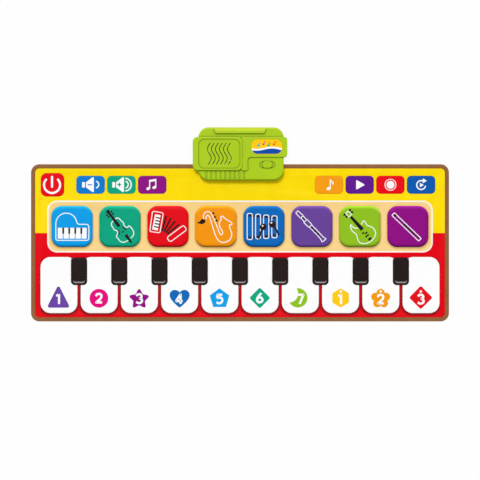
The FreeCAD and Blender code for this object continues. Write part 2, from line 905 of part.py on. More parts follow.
def rear_shell():
    floor = body_block(0.0, floor_thickness).common(behind(case_front, 0.0, floor_thickness))
    walls = body_block(0.0, split_height).cut(body_block(-1, split_height + 1, shell_wall))
    walls = walls.common(behind(case_front, 0.0, split_height))
    lip = body_block(0.0, lip_thickness, lip_inset).common(in_front_of(case_front + 5, 0.0, lip_thickness))
    bay = bay_block(0.0, bay_ceiling + bay_wall, bay_wall)
    pieces = [floor, walls, lip, bay]
    holes = [bay_block(-1, bay_ceiling)]
    for x, y in case_screws:
        pieces.append(disc(x, y, 0.0, rear_boss_top, rear_boss_radius))
        holes.append(disc(x, y, -1, screw_head_height + 2 * head_gap, screw_head_radius + head_gap))
        holes.append(disc(x, y, 0.0, rear_boss_top + 1, screw_radius + screw_gap))
    for x, y in lip_screws:
        pieces.append(disc(x, y, 0.0, lip_boss_top, lip_boss_radius))
        holes.append(disc(x, y, -1, screw_head_height + 2 * head_gap, screw_head_radius + head_gap))
        holes.append(disc(x, y, 0.0, lip_boss_top + 1, screw_radius + screw_gap))
    pieces.append(disc(door_screw_x, door_screw_y, 0.0, rear_boss_top, rear_boss_radius + 1.5))
    holes.append(disc(door_screw_x, door_screw_y, 0.0, rear_boss_top + 1, screw_radius + head_gap))
    holes.append(bay_block(-1, hinge_z, door_ledge))
    ear_pocket_top = door_recess + ear_thickness + hinge_gap
    holes.append(disc(door_screw_x, door_screw_y, -1, ear_pocket_top, door_ear_radius))
    holes.append(Part.makeBox(rear_boss_radius + door_ledge, 2 * door_ear_radius, hinge_z + 1,
                              Vec(door_screw_x, door_screw_y - door_ear_radius, -1)))
    holes += hinge_sockets()
    shell = cut(fused(pieces), holes)
    return fused([shell] + knuckles())


door_head_height = 1.0
door_head_top = door_recess + 0.1 + door_head_height


def battery_door():
    """The door: its right edge ends on the hinge's axis, and the screw sits in an ear on its left."""
    reach = door_ledge - door_gap
    plate = slab(bay_left - reach, hinge_x, bay_front - reach, bay_rear + reach, door_recess, hinge_z)
    ear_radius = door_ear_radius - door_gap
    ear = disc(door_screw_x, door_screw_y, door_recess, door_recess + ear_thickness, ear_radius)
    neck = Part.makeBox(rear_boss_radius + 2 * door_ledge, 2 * ear_radius, door_plate,
                        Vec(door_screw_x, door_screw_y - ear_radius, door_recess))
    plug = bay_block(hinge_z, hinge_z + door_plug, -2 * door_gap)
    barrels = []
    pins = []
    for y0, y1 in hinge_stretches():
        pin_reach = hinge_gap + knuckle_length * 0.7
        barrels.append(rod_along_y(hinge_x, y0, y1, hinge_z, hinge_radius))
        pins.append(rod_along_y(hinge_x, y0 - pin_reach, y1 + pin_reach, hinge_z, hinge_pin_radius))
    notches = []
    for y0, y1 in knuckle_stretches():
        notches.append(Part.makeBox(3.0, y1 - y0 + 2 * hinge_gap, 4.0,
                                    Vec(hinge_x - hinge_radius - hinge_gap, y0 - hinge_gap, -1)))
    grips = []
    grip_count = 5
    for i in range(grip_count):
        x = bay_left + 6 + 3 * i
        grips.append(Part.makeBox(1.2, 20, 0.4, Vec(x, door_screw_y - 10, door_recess - 0.1)))
    hole = disc(door_screw_x, door_screw_y, 0, hinge_z + 4, screw_radius + screw_gap)
    sink = disc(door_screw_x, door_screw_y, 0, door_head_top, screw_head_radius + screw_gap)
    door = cut(fused([plate, ear, neck, plug]), notches)
    return cut(fused([door] + barrels + pins), grips + [hole, sink]).removeSplitter()


def screw(x, y, head_bottom, length, radius, head_radius, head_height):
    """A pan-head screw, head down, with a cross recess."""
    head = disc(x, y, head_bottom, head_bottom + head_height, head_radius)
    rims = [e for e in head.Edges if e.BoundBox.ZMax < head_bottom + 1e-6]
    head = head.makeFillet(head_height * 0.3, rims)
    shank = disc(x, y, head_bottom + head_height, head_bottom + head_height + length, radius)
    cross = []
    for wide, deep in ((head_radius * 1.1, 0.5), (0.5, head_radius * 1.1)):
        cross.append(Part.makeBox(wide, deep, head_height * 0.5,
                                  Vec(x - wide / 2, y - deep / 2, head_bottom - 0.01)))
    return cut(head.fuse(shank), cross).removeSplitter()


def housing_screws():
    screws = []
    for x, y in case_screws:
        length = rear_boss_top + screw_bite - screw_head_height - 2 * head_gap
        screws.append(screw(x, y, 2 * head_gap, length, screw_radius, screw_head_radius, screw_head_height))
    for x, y in lip_screws:
        length = lip_boss_top + screw_bite - screw_head_height - 2 * head_gap
        screws.append(screw(x, y, 2 * head_gap, length, screw_radius, screw_head_radius, screw_head_height))
    for x, y in board_posts():
        screws.append(screw(x, y, board_bottom - small_head_height, board_thickness + small_screw_bite,
                            small_screw_radius, small_head_radius, small_head_height))
    for x, y in speaker_screw_places():
        length = grille_ceiling - speaker_flange_bottom - 0.3
        screws.append(screw(x, y, speaker_flange_bottom - small_head_height, length,
                            small_screw_radius - 0.1, small_head_radius, small_head_height))
    return group(screws)


def door_screw():
    length = rear_boss_top - door_head_top - 2.0
    return screw(door_screw_x, door_screw_y, door_head_top - door_head_height, length,
                 screw_radius, screw_head_radius, door_head_height)


# ================================================================ inside the sound box
def speaker_basket():
    """A pressed frame: a flat rim, a tapering wall and a round foot, open inside for the cone."""
    foot_z = speaker_flange_bottom - (speaker_depth - magnet_height - speaker_flange)
    outer = [
        (0, foot_z), (magnet_radius, foot_z), (speaker_radius - surround_width, speaker_flange_bottom),
        (speaker_radius, speaker_flange_bottom), (speaker_radius, speaker_flange_top),
        (speaker_radius - surround_width * 0.5, speaker_flange_top),
        (speaker_radius - surround_width * 0.5 - basket_wall, speaker_flange_bottom + basket_wall * 0.5),
        (speaker_radius - surround_width - basket_wall, speaker_flange_bottom),
        (magnet_radius - basket_wall, foot_z + basket_wall), (0, foot_z + basket_wall), (0, foot_z),
    ]
    profile = Part.makePolygon([Vec(speaker_x + r, speaker_y, z) for r, z in outer])
    return Part.Face(profile).revolve(Vec(speaker_x, speaker_y, 0), Vec(0, 0, 1), 360)


def speaker_magnet():
    foot_z = speaker_flange_bottom - (speaker_depth - magnet_height - speaker_flange)
    magnet = disc(speaker_x, speaker_y, foot_z - magnet_height, foot_z, magnet_radius - 1.0)
    rims = [e for e in magnet.Edges if e.BoundBox.ZMax < foot_z - magnet_height + 1e-6]
    return magnet.makeFillet(0.8, rims)


def speaker_cone():
    """The moving paper: a rolled edge, a cone and a domed cap."""
    rim = speaker_radius - surround_width * 0.5 - basket_wall - 0.3
    rim_z = speaker_flange_top - 0.3
    neck = dust_cap_radius
    neck_z = rim_z - 6.0
    thick = cone_thickness
    points = [
        (0, neck_z + 1.6), (neck * 0.6, neck_z + 1.0), (neck, neck_z), (rim - 2.0, rim_z - 0.2),
        (rim, rim_z), (rim, rim_z - thick), (rim - 1.6, rim_z - 0.2 - thick), (neck, neck_z - thick - 0.2),
        (0, neck_z - thick - 0.2), (0, neck_z + 1.6),
    ]
    profile = Part.makePolygon([Vec(speaker_x + r, speaker_y, z) for r, z in points])
    return Part.Face(profile).revolve(Vec(speaker_x, speaker_y, 0), Vec(0, 0, 1), 360)


def circuit_board():
    board = slab(board_left, board_right, board_front, board_rear, board_bottom, board_top, 2.0)
    holes = [disc(x, y, board_bottom - 1, board_top + 1, small_screw_radius + screw_gap)
             for x, y in board_posts()]
    return cut(board, holes)


def tail_connector():
    low = board_bottom - connector_height
    end_y = half_depth - binding_wall + tail_run - tail_reach
    y1 = end_y + connector_grip
    body = Part.makeBox(tail_width + 6, connector_depth, connector_height,
                        Vec(tail_left - 3, y1 - connector_depth, low))
    middle = board_bottom - connector_height / 2
    slot = Part.makeBox(tail_width + 0.6, connector_grip + 1.3, film_thickness + 0.1,
                        Vec(tail_left - 0.3, end_y - 0.3, middle - film_thickness / 2 - 0.05))
    return body.cut(slot)


def board_parts():
    """The sound chip under its blob, two capacitors, a row of small resistors and the tail's connector."""
    chip = Part.makeCylinder(6.5, 1.0, Vec(board_left + 26, board_front + 30, board_top))
    dome = Part.makeSphere(12.0, Vec(board_left + 26, board_front + 30, board_top - 9.2))
    dome = dome.common(Part.makeBox(40, 40, 4, Vec(board_left + 6, board_front + 10, board_top)))
    pieces = [chip.fuse(dome).removeSplitter()]
    for i in range(2):
        can = disc(board_left + 46 + 9 * i, board_front + 44, board_top, board_top + 7.0, 3.0)
        pieces.append(can)
    for i in range(4):
        pieces.append(Part.makeBox(3.2, 1.6, 0.8, Vec(board_left + 38 + 5 * i, board_front + 14, board_top)))
    pieces.append(tail_connector())
    return group(pieces)


def slide_switch():
    body = Part.makeBox(switch_length, switch_width, switch_height,
                        Vec(slider_x - switch_length / 2, slider_y - switch_width / 2, board_top))
    reach = lever_size / 2 + slider_travel + lever_gap + 0.6
    half = lever_size / 2 + lever_gap
    channel = Part.makeBox(2 * reach, 2 * half, switch_height,
                           Vec(slider_x - reach, slider_y - half, board_top + 1.4))
    return body.cut(channel)


stem_bottom = board_top + switch_height + lever_gap
lever_top = stem_bottom + 3.0


def switch_lever():
    half = lever_size / 2
    foot = Part.makeBox(lever_size, lever_size, lever_top - board_top - 1.4 - lever_gap,
                        Vec(slider_x - half, slider_y - half, board_top + 1.4 + lever_gap))
    return foot


def slider_knob():
    width = slider_recess_width - 2 * knob_gap
    bottom = slider_recess_floor + 0.15
    cap = slab(slider_x - knob_length / 2, slider_x + knob_length / 2,
               slider_y - width / 2, slider_y + width / 2, bottom, knob_top, knob_corner)
    cap = round_top(cap, knob_edge_round)
    stem = slab(slider_x - stem_length / 2, slider_x + stem_length / 2,
                slider_y - stem_width / 2, slider_y + stem_width / 2, stem_bottom, bottom + 0.5, 0.4)
    half = lever_size / 2 + 0.1
    socket = Part.makeBox(2 * half, 2 * half, lever_top - stem_bottom + 0.3 + 1,
                          Vec(slider_x - half, slider_y - half, stem_bottom - 1))
    return cut(cap.fuse(stem), [socket]).removeSplitter()


def label_sticker():
    return slab(sticker_left + sticker_gap, sticker_right - sticker_gap,
                sticker_front + sticker_gap, sticker_rear - sticker_gap,
                label_top - sticker_recess, label_top - sticker_recess + sticker_thickness,
                sticker_corner - sticker_gap)


def cell_places():
    """Each cell's middle line, and the way its nub points: the cells lie head to tail."""
    return [(bay_front + cell_gap + cell_radius + i * cell_pitch, 1 if i % 2 == 0 else -1)
            for i in range(cell_count)]


nub_wall_gap = contact_plate + 0.9    # the plate behind a cell's nub and its dimple


def cell_span(way):
    """Where a cell's can starts and ends along X, without its nub."""
    if way > 0:
        end = bay_right - nub_wall_gap - cell_nub_length
        return end - cell_length, end
    start = bay_left + nub_wall_gap + cell_nub_length
    return start, start + cell_length


def batteries():
    cells = []
    for y, way in cell_places():
        x0, x1 = cell_span(way)
        can = Part.makeCylinder(cell_radius, cell_length, Vec(x0, y, cell_axis_height), Vec(1, 0, 0))
        rims = [e for e in can.Edges if e.BoundBox.XLength < 1e-6]
        can = can.makeFillet(0.6, rims)
        nub_start = x1 - 0.5 if way > 0 else x0 - cell_nub_length
        nub = Part.makeCylinder(cell_nub_radius, cell_nub_length + 0.5,
                                Vec(nub_start, y, cell_axis_height), Vec(1, 0, 0))
        cells.append(can.fuse(nub).removeSplitter())
    return group(cells)


def contact_plate_at(x0, y):
    half = contact_plate_size / 2
    return Part.makeBox(contact_plate, contact_plate_size, contact_plate_size,
                        Vec(x0, y - half, cell_axis_height - half))


def coil_spring(x0, x1, y):
    """A tapering contact spring from its plate at x0 to the cell's flat end at x1."""
    way = 1 if x1 > x0 else -1
    height = abs(x1 - x0) - spring_wire
    pitch = height / spring_turns
    slope = math.degrees(math.atan((spring_base_radius - spring_tip_radius) / height))
    helix = Part.makeHelix(pitch, height, spring_base_radius, -slope)
    start = Vec(spring_base_radius, 0, 0)
    ring = Part.Wire(Part.makeCircle(spring_wire / 2, start, Vec(0, 1, 0)))
    coil = Part.Wire(helix).makePipeShell([ring], True, True)
    coil.rotate(Vec(0, 0, 0), Vec(0, 1, 0), 90)
    if way < 0:
        coil.rotate(Vec(0, 0, 0), Vec(0, 0, 1), 180)
    coil.translate(Vec(x0 + way * spring_wire / 2, y, cell_axis_height))
    return coil


def battery_contacts():
    pieces = []
    for y, way in cell_places():
        x0, x1 = cell_span(way)
        if way > 0:
            pieces.append(contact_plate_at(bay_left, y))
            pieces.append(coil_spring(bay_left + contact_plate, x0, y))
            nub_plate_x = bay_right - contact_plate
            dimple_x = bay_right - nub_wall_gap
        else:
            pieces.append(contact_plate_at(bay_right - contact_plate, y))
            pieces.append(coil_spring(bay_right - contact_plate, x1, y))
            nub_plate_x = bay_left
            dimple_x = bay_left + contact_plate
        dimple = Part.makeCylinder(dimple_radius, nub_wall_gap - contact_plate,
                                   Vec(dimple_x, y, cell_axis_height), Vec(1, 0, 0))
        pieces.append(contact_plate_at(nub_plate_x, y).fuse(dimple).removeSplitter())
    return group(pieces)


def wire_run(points, bend):
    """A round wire along straight runs joined by arcs."""
    edges = []
    last = points[0]
    for i in range(1, len(points) - 1):
        here = points[i]
        back = (points[i - 1] - here).normalize()
        on = (points[i + 1] - here).normalize()
        turn = math.pi - back.getAngle(on)
        trim = bend * math.tan(turn / 2)
        a = here + back * trim
        b = here + on * trim
        toward = (back + on).normalize()
        centre = here + toward * (bend / math.cos(turn / 2))
        middle = centre - toward * bend
        edges.append(Part.LineSegment(last, a).toShape())
        edges.append(Part.Arc(a, middle, b).toShape())
        last = b
    edges.append(Part.LineSegment(last, points[-1]).toShape())
    path = Part.Wire(edges)
    ring = Part.Wire(Part.makeCircle(wire_radius, points[0], points[1] - points[0]))
    return path.makePipeShell([ring], True, True)


def wires():
    """Two leads from the board to the speaker, and two to the battery bay."""
    runs = []
    foot_z = speaker_flange_bottom - (speaker_depth - magnet_height - speaker_flange)
    for i in range(2):
        y = speaker_y - 2 + 4 * i
        x = speaker_x + magnet_radius + 1.2
        high = foot_z + 1.0
        runs.append(wire_run([
            Vec(x, y, high - 3.0), Vec(x + 8, y, high - 3.0),
            Vec(board_left - 6, y - 14, board_top + 4), Vec(board_left + 6 + 3 * i, y - 14, board_top + 4),
            Vec(board_left + 6 + 3 * i, y - 14, board_top),
        ], 1.5))
    for i in range(2):
        x = bay_left + 8 + 5 * i
        y = bay_front - bay_wall
        runs.append(wire_run([
            Vec(x, y, bay_ceiling - 2), Vec(x, y - 4, bay_ceiling - 2), Vec(x, y - 4, board_top + 3.5),
            Vec(x, board_rear - 5, board_top + 3.5), Vec(x, board_rear - 5, board_top),
        ], 1.5))
    return group(runs)


# ================================================================ build every node
def main():
    os.makedirs("parts", exist_ok=True)
    blacks = black_keys()
    whites = white_keys(blacks)
    pads = whites + blacks + instrument_pads() + function_buttons()
    for pad in pads:
        write(pad.name, pad.solid())
    write("cover_sheet", cover_sheet(pads))
    write("upper_contact_film", upper_film(pads))
    write("spacer_layer", spacer_layer(pads))
    write("lower_contact_film", lower_film())
    write("contact_dots", contact_dots(pads))
    write("foam_pad", foam_pad())
    write("backing_cloth", backing_cloth())
    write("edge_binding", edge_binding())
    write("front_shell", front_shell())
    write("rear_shell", rear_shell())
    write("battery_door", battery_door())
    write("door_screw", door_screw())
    write("housing_screws", housing_screws())
    write("speaker_basket", speaker_basket())
    write("speaker_magnet", speaker_magnet())
    write("speaker_cone", speaker_cone())
    write("circuit_board", circuit_board())
    write("board_parts", board_parts())
    write("slide_switch", slide_switch())
    write("switch_lever", switch_lever())
    write("slider_knob", slider_knob())
    write("label_sticker", label_sticker())
    write("batteries", batteries())
    write("battery_contacts", battery_contacts())
    write("wires", wires())
    for name in sorted(written):
        print(name, len(written[name].Solids), round(written[name].Volume, 1))


main()
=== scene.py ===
import json
import math
import bmesh
import bpy
from mathutils import Matrix, Vector


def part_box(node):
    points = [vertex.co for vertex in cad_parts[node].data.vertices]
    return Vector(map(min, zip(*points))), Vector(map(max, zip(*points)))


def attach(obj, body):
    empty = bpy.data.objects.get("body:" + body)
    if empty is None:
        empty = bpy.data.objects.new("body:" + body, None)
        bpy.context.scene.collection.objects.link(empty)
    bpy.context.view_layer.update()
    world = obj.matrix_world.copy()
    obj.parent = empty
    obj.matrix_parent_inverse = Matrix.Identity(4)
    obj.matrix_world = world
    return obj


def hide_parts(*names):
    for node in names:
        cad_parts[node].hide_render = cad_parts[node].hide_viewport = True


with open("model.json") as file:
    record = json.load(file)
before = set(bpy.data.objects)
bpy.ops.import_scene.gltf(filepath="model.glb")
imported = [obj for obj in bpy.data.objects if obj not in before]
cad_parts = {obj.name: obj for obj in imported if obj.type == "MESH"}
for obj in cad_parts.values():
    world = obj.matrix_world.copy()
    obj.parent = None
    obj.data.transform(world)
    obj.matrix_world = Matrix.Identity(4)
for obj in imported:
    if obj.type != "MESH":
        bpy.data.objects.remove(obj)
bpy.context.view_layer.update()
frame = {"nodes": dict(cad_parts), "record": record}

mm = 0.001
whiteKeys = ["white_key_%d" % i for i in range(1, 11)]
blackKeys = ["black_key_%d" % i for i in range(1, 10)]
instruments = ["piano", "violin", "accordion", "saxophone", "xylophone", "clarinet", "guitar", "flute"]
tiles = [name + "_pad" for name in instruments]
buttons = ["power_button", "volume_down_button", "volume_up_button", "demo_button",
           "single_note_button", "play_button", "record_button", "playback_button"]
bodies = frame["record"]["behaviour"]["bodies"]
nodeBody = {node: body for body, members in bodies.items() for node in members}


# small helpers

def deselectAll():
    if bpy.context.object and bpy.context.object.mode != "OBJECT":
        bpy.ops.object.mode_set(mode="OBJECT")
    for thing in list(bpy.context.selected_objects):
        thing.select_set(False)


def makeActive(thing):
    deselectAll()
    thing.select_set(True)
    bpy.context.view_layer.objects.active = thing


def joinAll(name, parts):
    makeActive(parts[0])
    for part in parts[1:]:
        part.select_set(True)
    if len(parts) > 1:
        bpy.ops.object.join()
    whole = bpy.context.view_layer.objects.active
    whole.name = name
    whole.data.name = name
    return whole


def pick(thing, kind, test):  # in edit mode: selects only the faces or edges that pass the test
    bpy.ops.mesh.select_mode(type=kind)
    bpy.ops.mesh.select_all(action="DESELECT")
    shape = bmesh.from_edit_mesh(thing.data)
    for element in (shape.faces if kind == "FACE" else shape.edges):
        element.select_set(bool(test(element)))
    shape.select_flush_mode()
    bmesh.update_edit_mesh(thing.data)


def smoothEdges(thing, degrees=40):
    makeActive(thing)
    bpy.ops.object.shade_smooth_by_angle(angle=math.radians(degrees))


def copyTo(source, name, move):
    copied = source.copy()
    copied.data = source.data.copy()
    copied.data.name = name
    copied.name = name
    copied.data.transform(Matrix.Translation(move))
    bpy.context.collection.objects.link(copied)
    return copied


def finishPiece(thing, body, replaces=None):
    if replaces:
        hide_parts(*replaces)
    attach(thing, body)


def setMaterial(thing, material):
    thing.data.materials.clear()
    thing.data.materials.append(material)


def carveAway(thing, cutter, useSelf=False):
    carve = thing.modifiers.new("carve", "BOOLEAN")
    carve.object = cutter
    carve.operation = "DIFFERENCE"
    carve.solver = "EXACT"
    carve.use_self = useSelf
    makeActive(thing)
    bpy.ops.object.modifier_apply(modifier=carve.name)
    bpy.data.objects.remove(cutter, do_unlink=True)


def meshFrom(name, points, faces):
    data = bpy.data.meshes.new(name)
    data.from_pydata(points, [], faces)
    made = bpy.data.objects.new(name, data)
    bpy.context.collection.objects.link(made)
    makeActive(made)
    bpy.ops.object.mode_set(mode="EDIT")
    bpy.ops.mesh.select_all(action="SELECT")
    bpy.ops.mesh.normals_make_consistent(inside=False)
    bpy.ops.object.mode_set(mode="OBJECT")
    return made


def middle(node):  # the middle of the node's top
    low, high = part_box(node)
    return (low[0] + high[0]) / 2, (low[1] + high[1]) / 2, high[2]


# materials

def linear(colour):
    out = []
    for value in colour:
        value = value / 255
        out.append(value / 12.92 if value <= 0.04045 else ((value + 0.055) / 1.055) ** 2.4)
    return (out[0], out[1], out[2], 1.0)


class Finish:  # a material under way: its tree, its shader and short ways to add nodes
    def __init__(self, name, roughness=0.5, metallic=0.0, specular=0.5, coat=0.0, sheen=0.0):
        self.material = bpy.data.materials.new(name)
        self.material.use_nodes = True
        self.tree = self.material.node_tree
        self.shader = self.tree.nodes["Principled BSDF"]
        self.shader.inputs["Roughness"].default_value = roughness
        self.shader.inputs["Metallic"].default_value = metallic
        self.shader.inputs["Specular IOR Level"].default_value = specular
        self.shader.inputs["Coat Weight"].default_value = coat
        self.shader.inputs["Sheen Weight"].default_value = sheen
        self.place = self.node("ShaderNodeTexCoord").outputs["Object"]

    def node(self, kind, **settings):
        made = self.tree.nodes.new(kind)
        for key, value in settings.items():
            setattr(made, key, value)
        return made

    def link(self, source, target):
        self.tree.links.new(source, target)

    def math(self, operation, a, b=None, c=None):
        made = self.node("ShaderNodeMath", operation=operation)
        for socket, value in zip(made.inputs, (a, b, c)):
            if value is None:
                continue
            if isinstance(value, (int, float)):
                socket.default_value = value
            else:
                self.link(value, socket)
        return made.outputs[0]

    def vector(self, operation, a, b=None):
        made = self.node("ShaderNodeVectorMath", operation=operation)
        for socket, value in zip(made.inputs, (a, b)):
            if value is None:
                continue
            if isinstance(value, (tuple, list)):
                socket.default_value = value
            else:
                self.link(value, socket)
        return made.outputs["Value" if operation == "LENGTH" else "Vector"]

    def noise(self, scale, detail=2.0, rough=0.5):
        made = self.node("ShaderNodeTexNoise")
        made.inputs["Scale"].default_value = scale
        made.inputs["Detail"].default_value = detail
        made.inputs["Roughness"].default_value = rough
        self.link(self.place, made.inputs["Vector"])
        return made.outputs["Fac"]

    def wave(self, direction, pitch):  # stripes this far apart, in metres
        made = self.node("ShaderNodeTexWave", wave_type="BANDS", bands_direction=direction)
        made.inputs["Scale"].default_value = math.pi / (10 * pitch)
        self.link(self.place, made.inputs["Vector"])
        return made.outputs["Fac"]

    def spread(self, value, low, high, start=0.0, end=1.0):
        made = self.node("ShaderNodeMapRange", clamp=True)
        made.inputs["From Min"].default_value = start
        made.inputs["From Max"].default_value = end
        made.inputs["To Min"].default_value = low
        made.inputs["To Max"].default_value = high
        self.link(value, made.inputs["Value"])
        return made.outputs["Result"]

    def mix(self, amount, a, b, kind="MIX"):
        made = self.node("ShaderNodeMix", data_type="RGBA", blend_type=kind)
        for socket, value in ((made.inputs[0], amount), (made.inputs[6], a), (made.inputs[7], b)):
            if isinstance(value, (int, float, tuple)):
                socket.default_value = value
            else:
                self.link(value, socket)
        return made.outputs[2]

    def colour(self, value):
        if isinstance(value, tuple):
            self.shader.inputs["Base Color"].default_value = value
        else:
            self.link(value, self.shader.inputs["Base Color"])

    def roughness(self, value):
        self.link(value, self.shader.inputs["Roughness"])

    def bump(self, height, distance, strength=1.0):
        made = self.node("ShaderNodeBump")
        made.inputs["Distance"].default_value = distance
        made.inputs["Strength"].default_value = strength
        self.link(height, made.inputs["Height"])
        self.link(made.outputs["Normal"], self.shader.inputs["Normal"])

    def blotch(self, colour, scale=30.0, amount=0.06):  # slow changes in a printed or moulded colour
        tone = self.spread(self.noise(scale, 3.0), 1 - amount, 1 + amount * 0.4, 0.3, 0.7)
        grey = self.node("ShaderNodeCombineColor")
        for socket in grey.inputs:
            self.link(tone, socket)
        return self.mix(1.0, colour, grey.outputs[0], "MULTIPLY")

    def axis(self, name, source=None):
        made = self.node("ShaderNodeSeparateXYZ")
        self.link(source or self.place, made.inputs[0])
        return made.outputs[name]

    def repeated(self, first, pitch):  # the place, counted afresh along x for each pad in a row
        made = self.node("ShaderNodeCombineXYZ")
        fromFirst = self.math("SUBTRACT", self.axis("X"), first)
        self.link(self.math("WRAP", fromFirst, pitch / 2, -pitch / 2), made.inputs[0])
        self.link(self.axis("Y"), made.inputs[1])
        return made.outputs[0]

    def paintedRimLight(self, colour, lit, shaded, amount=0.75):  # painted light and shade: slopes facing +Y painted lighter, slopes facing -Y painted darker
        facing = self.axis("Y", self.node("ShaderNodeTexCoord").outputs["Normal"])
        far = self.spread(facing, 0.0, amount, 0.06, 0.42)
        near = self.spread(facing, 0.0, amount, -0.06, -0.42)
        return self.mix(near, self.mix(far, colour, lit), shaded)

    def paintedCreviceShade(self, colour, dark, reach, low=0.55, high=0.97):  # painted shade: darker where the shape folds in
        made = self.node("ShaderNodeAmbientOcclusion", samples=8)
        made.inputs["Distance"].default_value = reach
        return self.mix(self.spread(made.outputs["AO"], 1.0, 0.0, low, high), colour, dark)

    def roundedMask(self, centre, half, radius, soft=0.25 * mm, place=None):  # 1 inside a rounded rectangle
        flat = self.vector("MULTIPLY", place or self.place, (1, 1, 0))
        away = self.vector("ABSOLUTE", self.vector("SUBTRACT", flat, (centre[0], centre[1], 0)))
        past = self.vector("SUBTRACT", away, (half[0] - radius, half[1] - radius, 0))
        past = self.vector("MAXIMUM", past, (0, 0, 0))
        return self.spread(self.vector("LENGTH", past), 1.0, 0.0, radius - soft, radius + soft)


def clothHeight(finish, pitch, share):  # a plain weave under a printed film, with the film's own grain
    weave = finish.math("MULTIPLY", finish.wave("X", pitch), finish.wave("Y", pitch))
    grain = finish.noise(900.0, 3.0, 0.6)
    soft = finish.noise(60.0, 2.0)
    height = finish.math("ADD", finish.math("MULTIPLY", weave, share), finish.math("MULTIPLY", grain, 1 - share))
    return finish.math("ADD", height, finish.math("MULTIPLY", soft, 2.5))


def vinylCloth(name, colour, settings=None):
    use = {"roughness": 0.46, "pitch": 1.1 * mm, "weave": 0.55, "depth": 0.07 * mm, "blotch": 0.04, "rim": 0.0}
    use.update(settings or {})
    finish = Finish(name, specular=0.07)
    tone = finish.blotch(linear(colour), 35.0, use["blotch"])
    # painted light and shade on the pads' rims: lighter on +Y slopes, darker on -Y slopes
    if use["rim"]:
        lit = linear([min(255, value * 1.2 + 16) for value in colour])
        shaded = linear([value * 0.62 for value in colour])
        tone = finish.paintedRimLight(tone, lit, shaded, use["rim"])
    finish.colour(tone)
    finish.roughness(finish.spread(finish.noise(80.0, 3.0), use["roughness"] - 0.06, use["roughness"] + 0.08, 0.3, 0.7))
    finish.bump(clothHeight(finish, use["pitch"], use["weave"]), use["depth"], 0.6)
    return finish.material


def mouldedPlastic(name, colour, roughness=0.34, lit=None, dark=None):
    finish = Finish(name, specular=0.14)
    tone = finish.blotch(linear(colour), 18.0, 0.05)
    # painted highlight on slopes facing +Y, painted shade on slopes facing -Y and in creases
    if dark:
        tone = finish.paintedRimLight(tone, linear(lit), linear(dark), 0.6)
        tone = finish.paintedCreviceShade(tone, linear(dark), 3.5 * mm)
    finish.colour(tone)
    worn = finish.noise(140.0, 4.0, 0.65)
    finish.roughness(finish.spread(worn, roughness - 0.06, roughness + 0.1, 0.35, 0.75))
    spark = finish.noise(2200.0, 2.0)
    slow = finish.noise(12.0, 2.0)
    finish.bump(finish.math("ADD", spark, finish.math("MULTIPLY", slow, 6.0)), 0.03 * mm, 0.5)
    return finish.material


def inkFinish(name, colour):
    finish = Finish(name, specular=0.08)
    finish.colour(finish.blotch(linear(colour), 120.0, 0.03))
    finish.roughness(finish.spread(finish.noise(300.0, 2.0), 0.4, 0.52, 0.3, 0.7))
    finish.bump(finish.noise(1200.0, 2.0), 0.02 * mm, 0.5)
    return finish.material


def metalFinish(name, colour, roughness):
    finish = Finish(name, metallic=1.0)
    finish.colour(finish.blotch(linear(colour), 200.0, 0.1))
    finish.roughness(finish.spread(finish.noise(700.0, 3.0), roughness - 0.08, roughness + 0.12, 0.3, 0.7))
    finish.bump(finish.noise(3000.0, 2.0), 0.01 * mm, 0.4)
    return finish.material


inks = {}


def ink(colour):
    if colour not in inks:
        inks[colour] = inkFinish("ink_%d_%d_%d" % colour, colour)
    return inks[colour]


white = (253, 253, 253)
black = (30, 20, 18)

print("stage: helpers ready")


# printed shapes: flat inks that lie on a pad, drawn in millimetres about the pad's middle

arcStep = 11  # degrees between the points of a rounded corner


def rounded(corners):  # a closed outline from corners given as x, y and the radius that rounds each
    points = []
    for i, (x, y, radius) in enumerate(corners):
        if radius <= 0:
            points.append((x, y))
            continue
        here = Vector((x, y))
        back = (Vector(corners[i - 1][:2]) - here).normalized()
        ahead = (Vector(corners[(i + 1) % len(corners)][:2]) - here).normalized()
        opening = back.angle(ahead)
        trim = radius / math.tan(opening / 2)
        centre = here + (back + ahead).normalized() * (radius / math.sin(opening / 2))
        start = here + back * trim - centre
        sweep = math.pi - opening
        side = -1 if back.x * ahead.y - back.y * ahead.x > 0 else 1
        steps = max(2, int(math.degrees(sweep) / arcStep))
        for step in range(steps + 1):
            point = Matrix.Rotation(side * sweep * step / steps, 2) @ start + centre
            points.append((point.x, point.y))
    return points


def box(x, y, width, height, radius=0.0, turn=0.0):
    corners = []
    spin = Matrix.Rotation(math.radians(turn), 2)
    for sx, sy in ((-1, -1), (1, -1), (1, 1), (-1, 1)):
        corner = spin @ Vector((sx * width / 2, sy * height / 2))
        corners.append((x + corner.x, y + corner.y, radius))
    return rounded(corners)


def circle(x, y, radius, start=0.0, end=360.0, steps=40):
    count = steps if abs(end - start) >= 360 else steps + 1
    turns = [math.radians(start + (end - start) * i / steps) for i in range(count)]
    return [(x + radius * math.cos(turn), y + radius * math.sin(turn)) for turn in turns]


def drawCurve(paths, closed, smooth):
    data = bpy.data.curves.new("drawn", "CURVE")
    data.dimensions = "2D"
    data.resolution_u = 6
    for path in paths:
        line = data.splines.new("BEZIER" if smooth else "POLY")
        if smooth:
            line.bezier_points.add(len(path) - 1)
            for point, place in zip(line.bezier_points, path):
                point.co = (place[0] * mm, place[1] * mm, 0)
                point.handle_left_type = "AUTO"
                point.handle_right_type = "AUTO"
        else:
            line.points.add(len(path) - 1)
            for point, place in zip(line.points, path):
                point.co = (place[0] * mm, place[1] * mm, 0, 1)
        line.use_cyclic_u = closed
    drawn = bpy.data.objects.new("drawn", data)
    bpy.context.collection.objects.link(drawn)
    return drawn


def toMesh(drawn, colour, lift):
    makeActive(drawn)
    bpy.ops.object.convert(target="MESH")
    made = bpy.context.object
    made.data.transform(Matrix.Translation((0, 0, lift * mm)))
    setMaterial(made, ink(colour))
    return made


inkThick = {"stroke": 0.28, "fill": 0.12}  # in millimetres


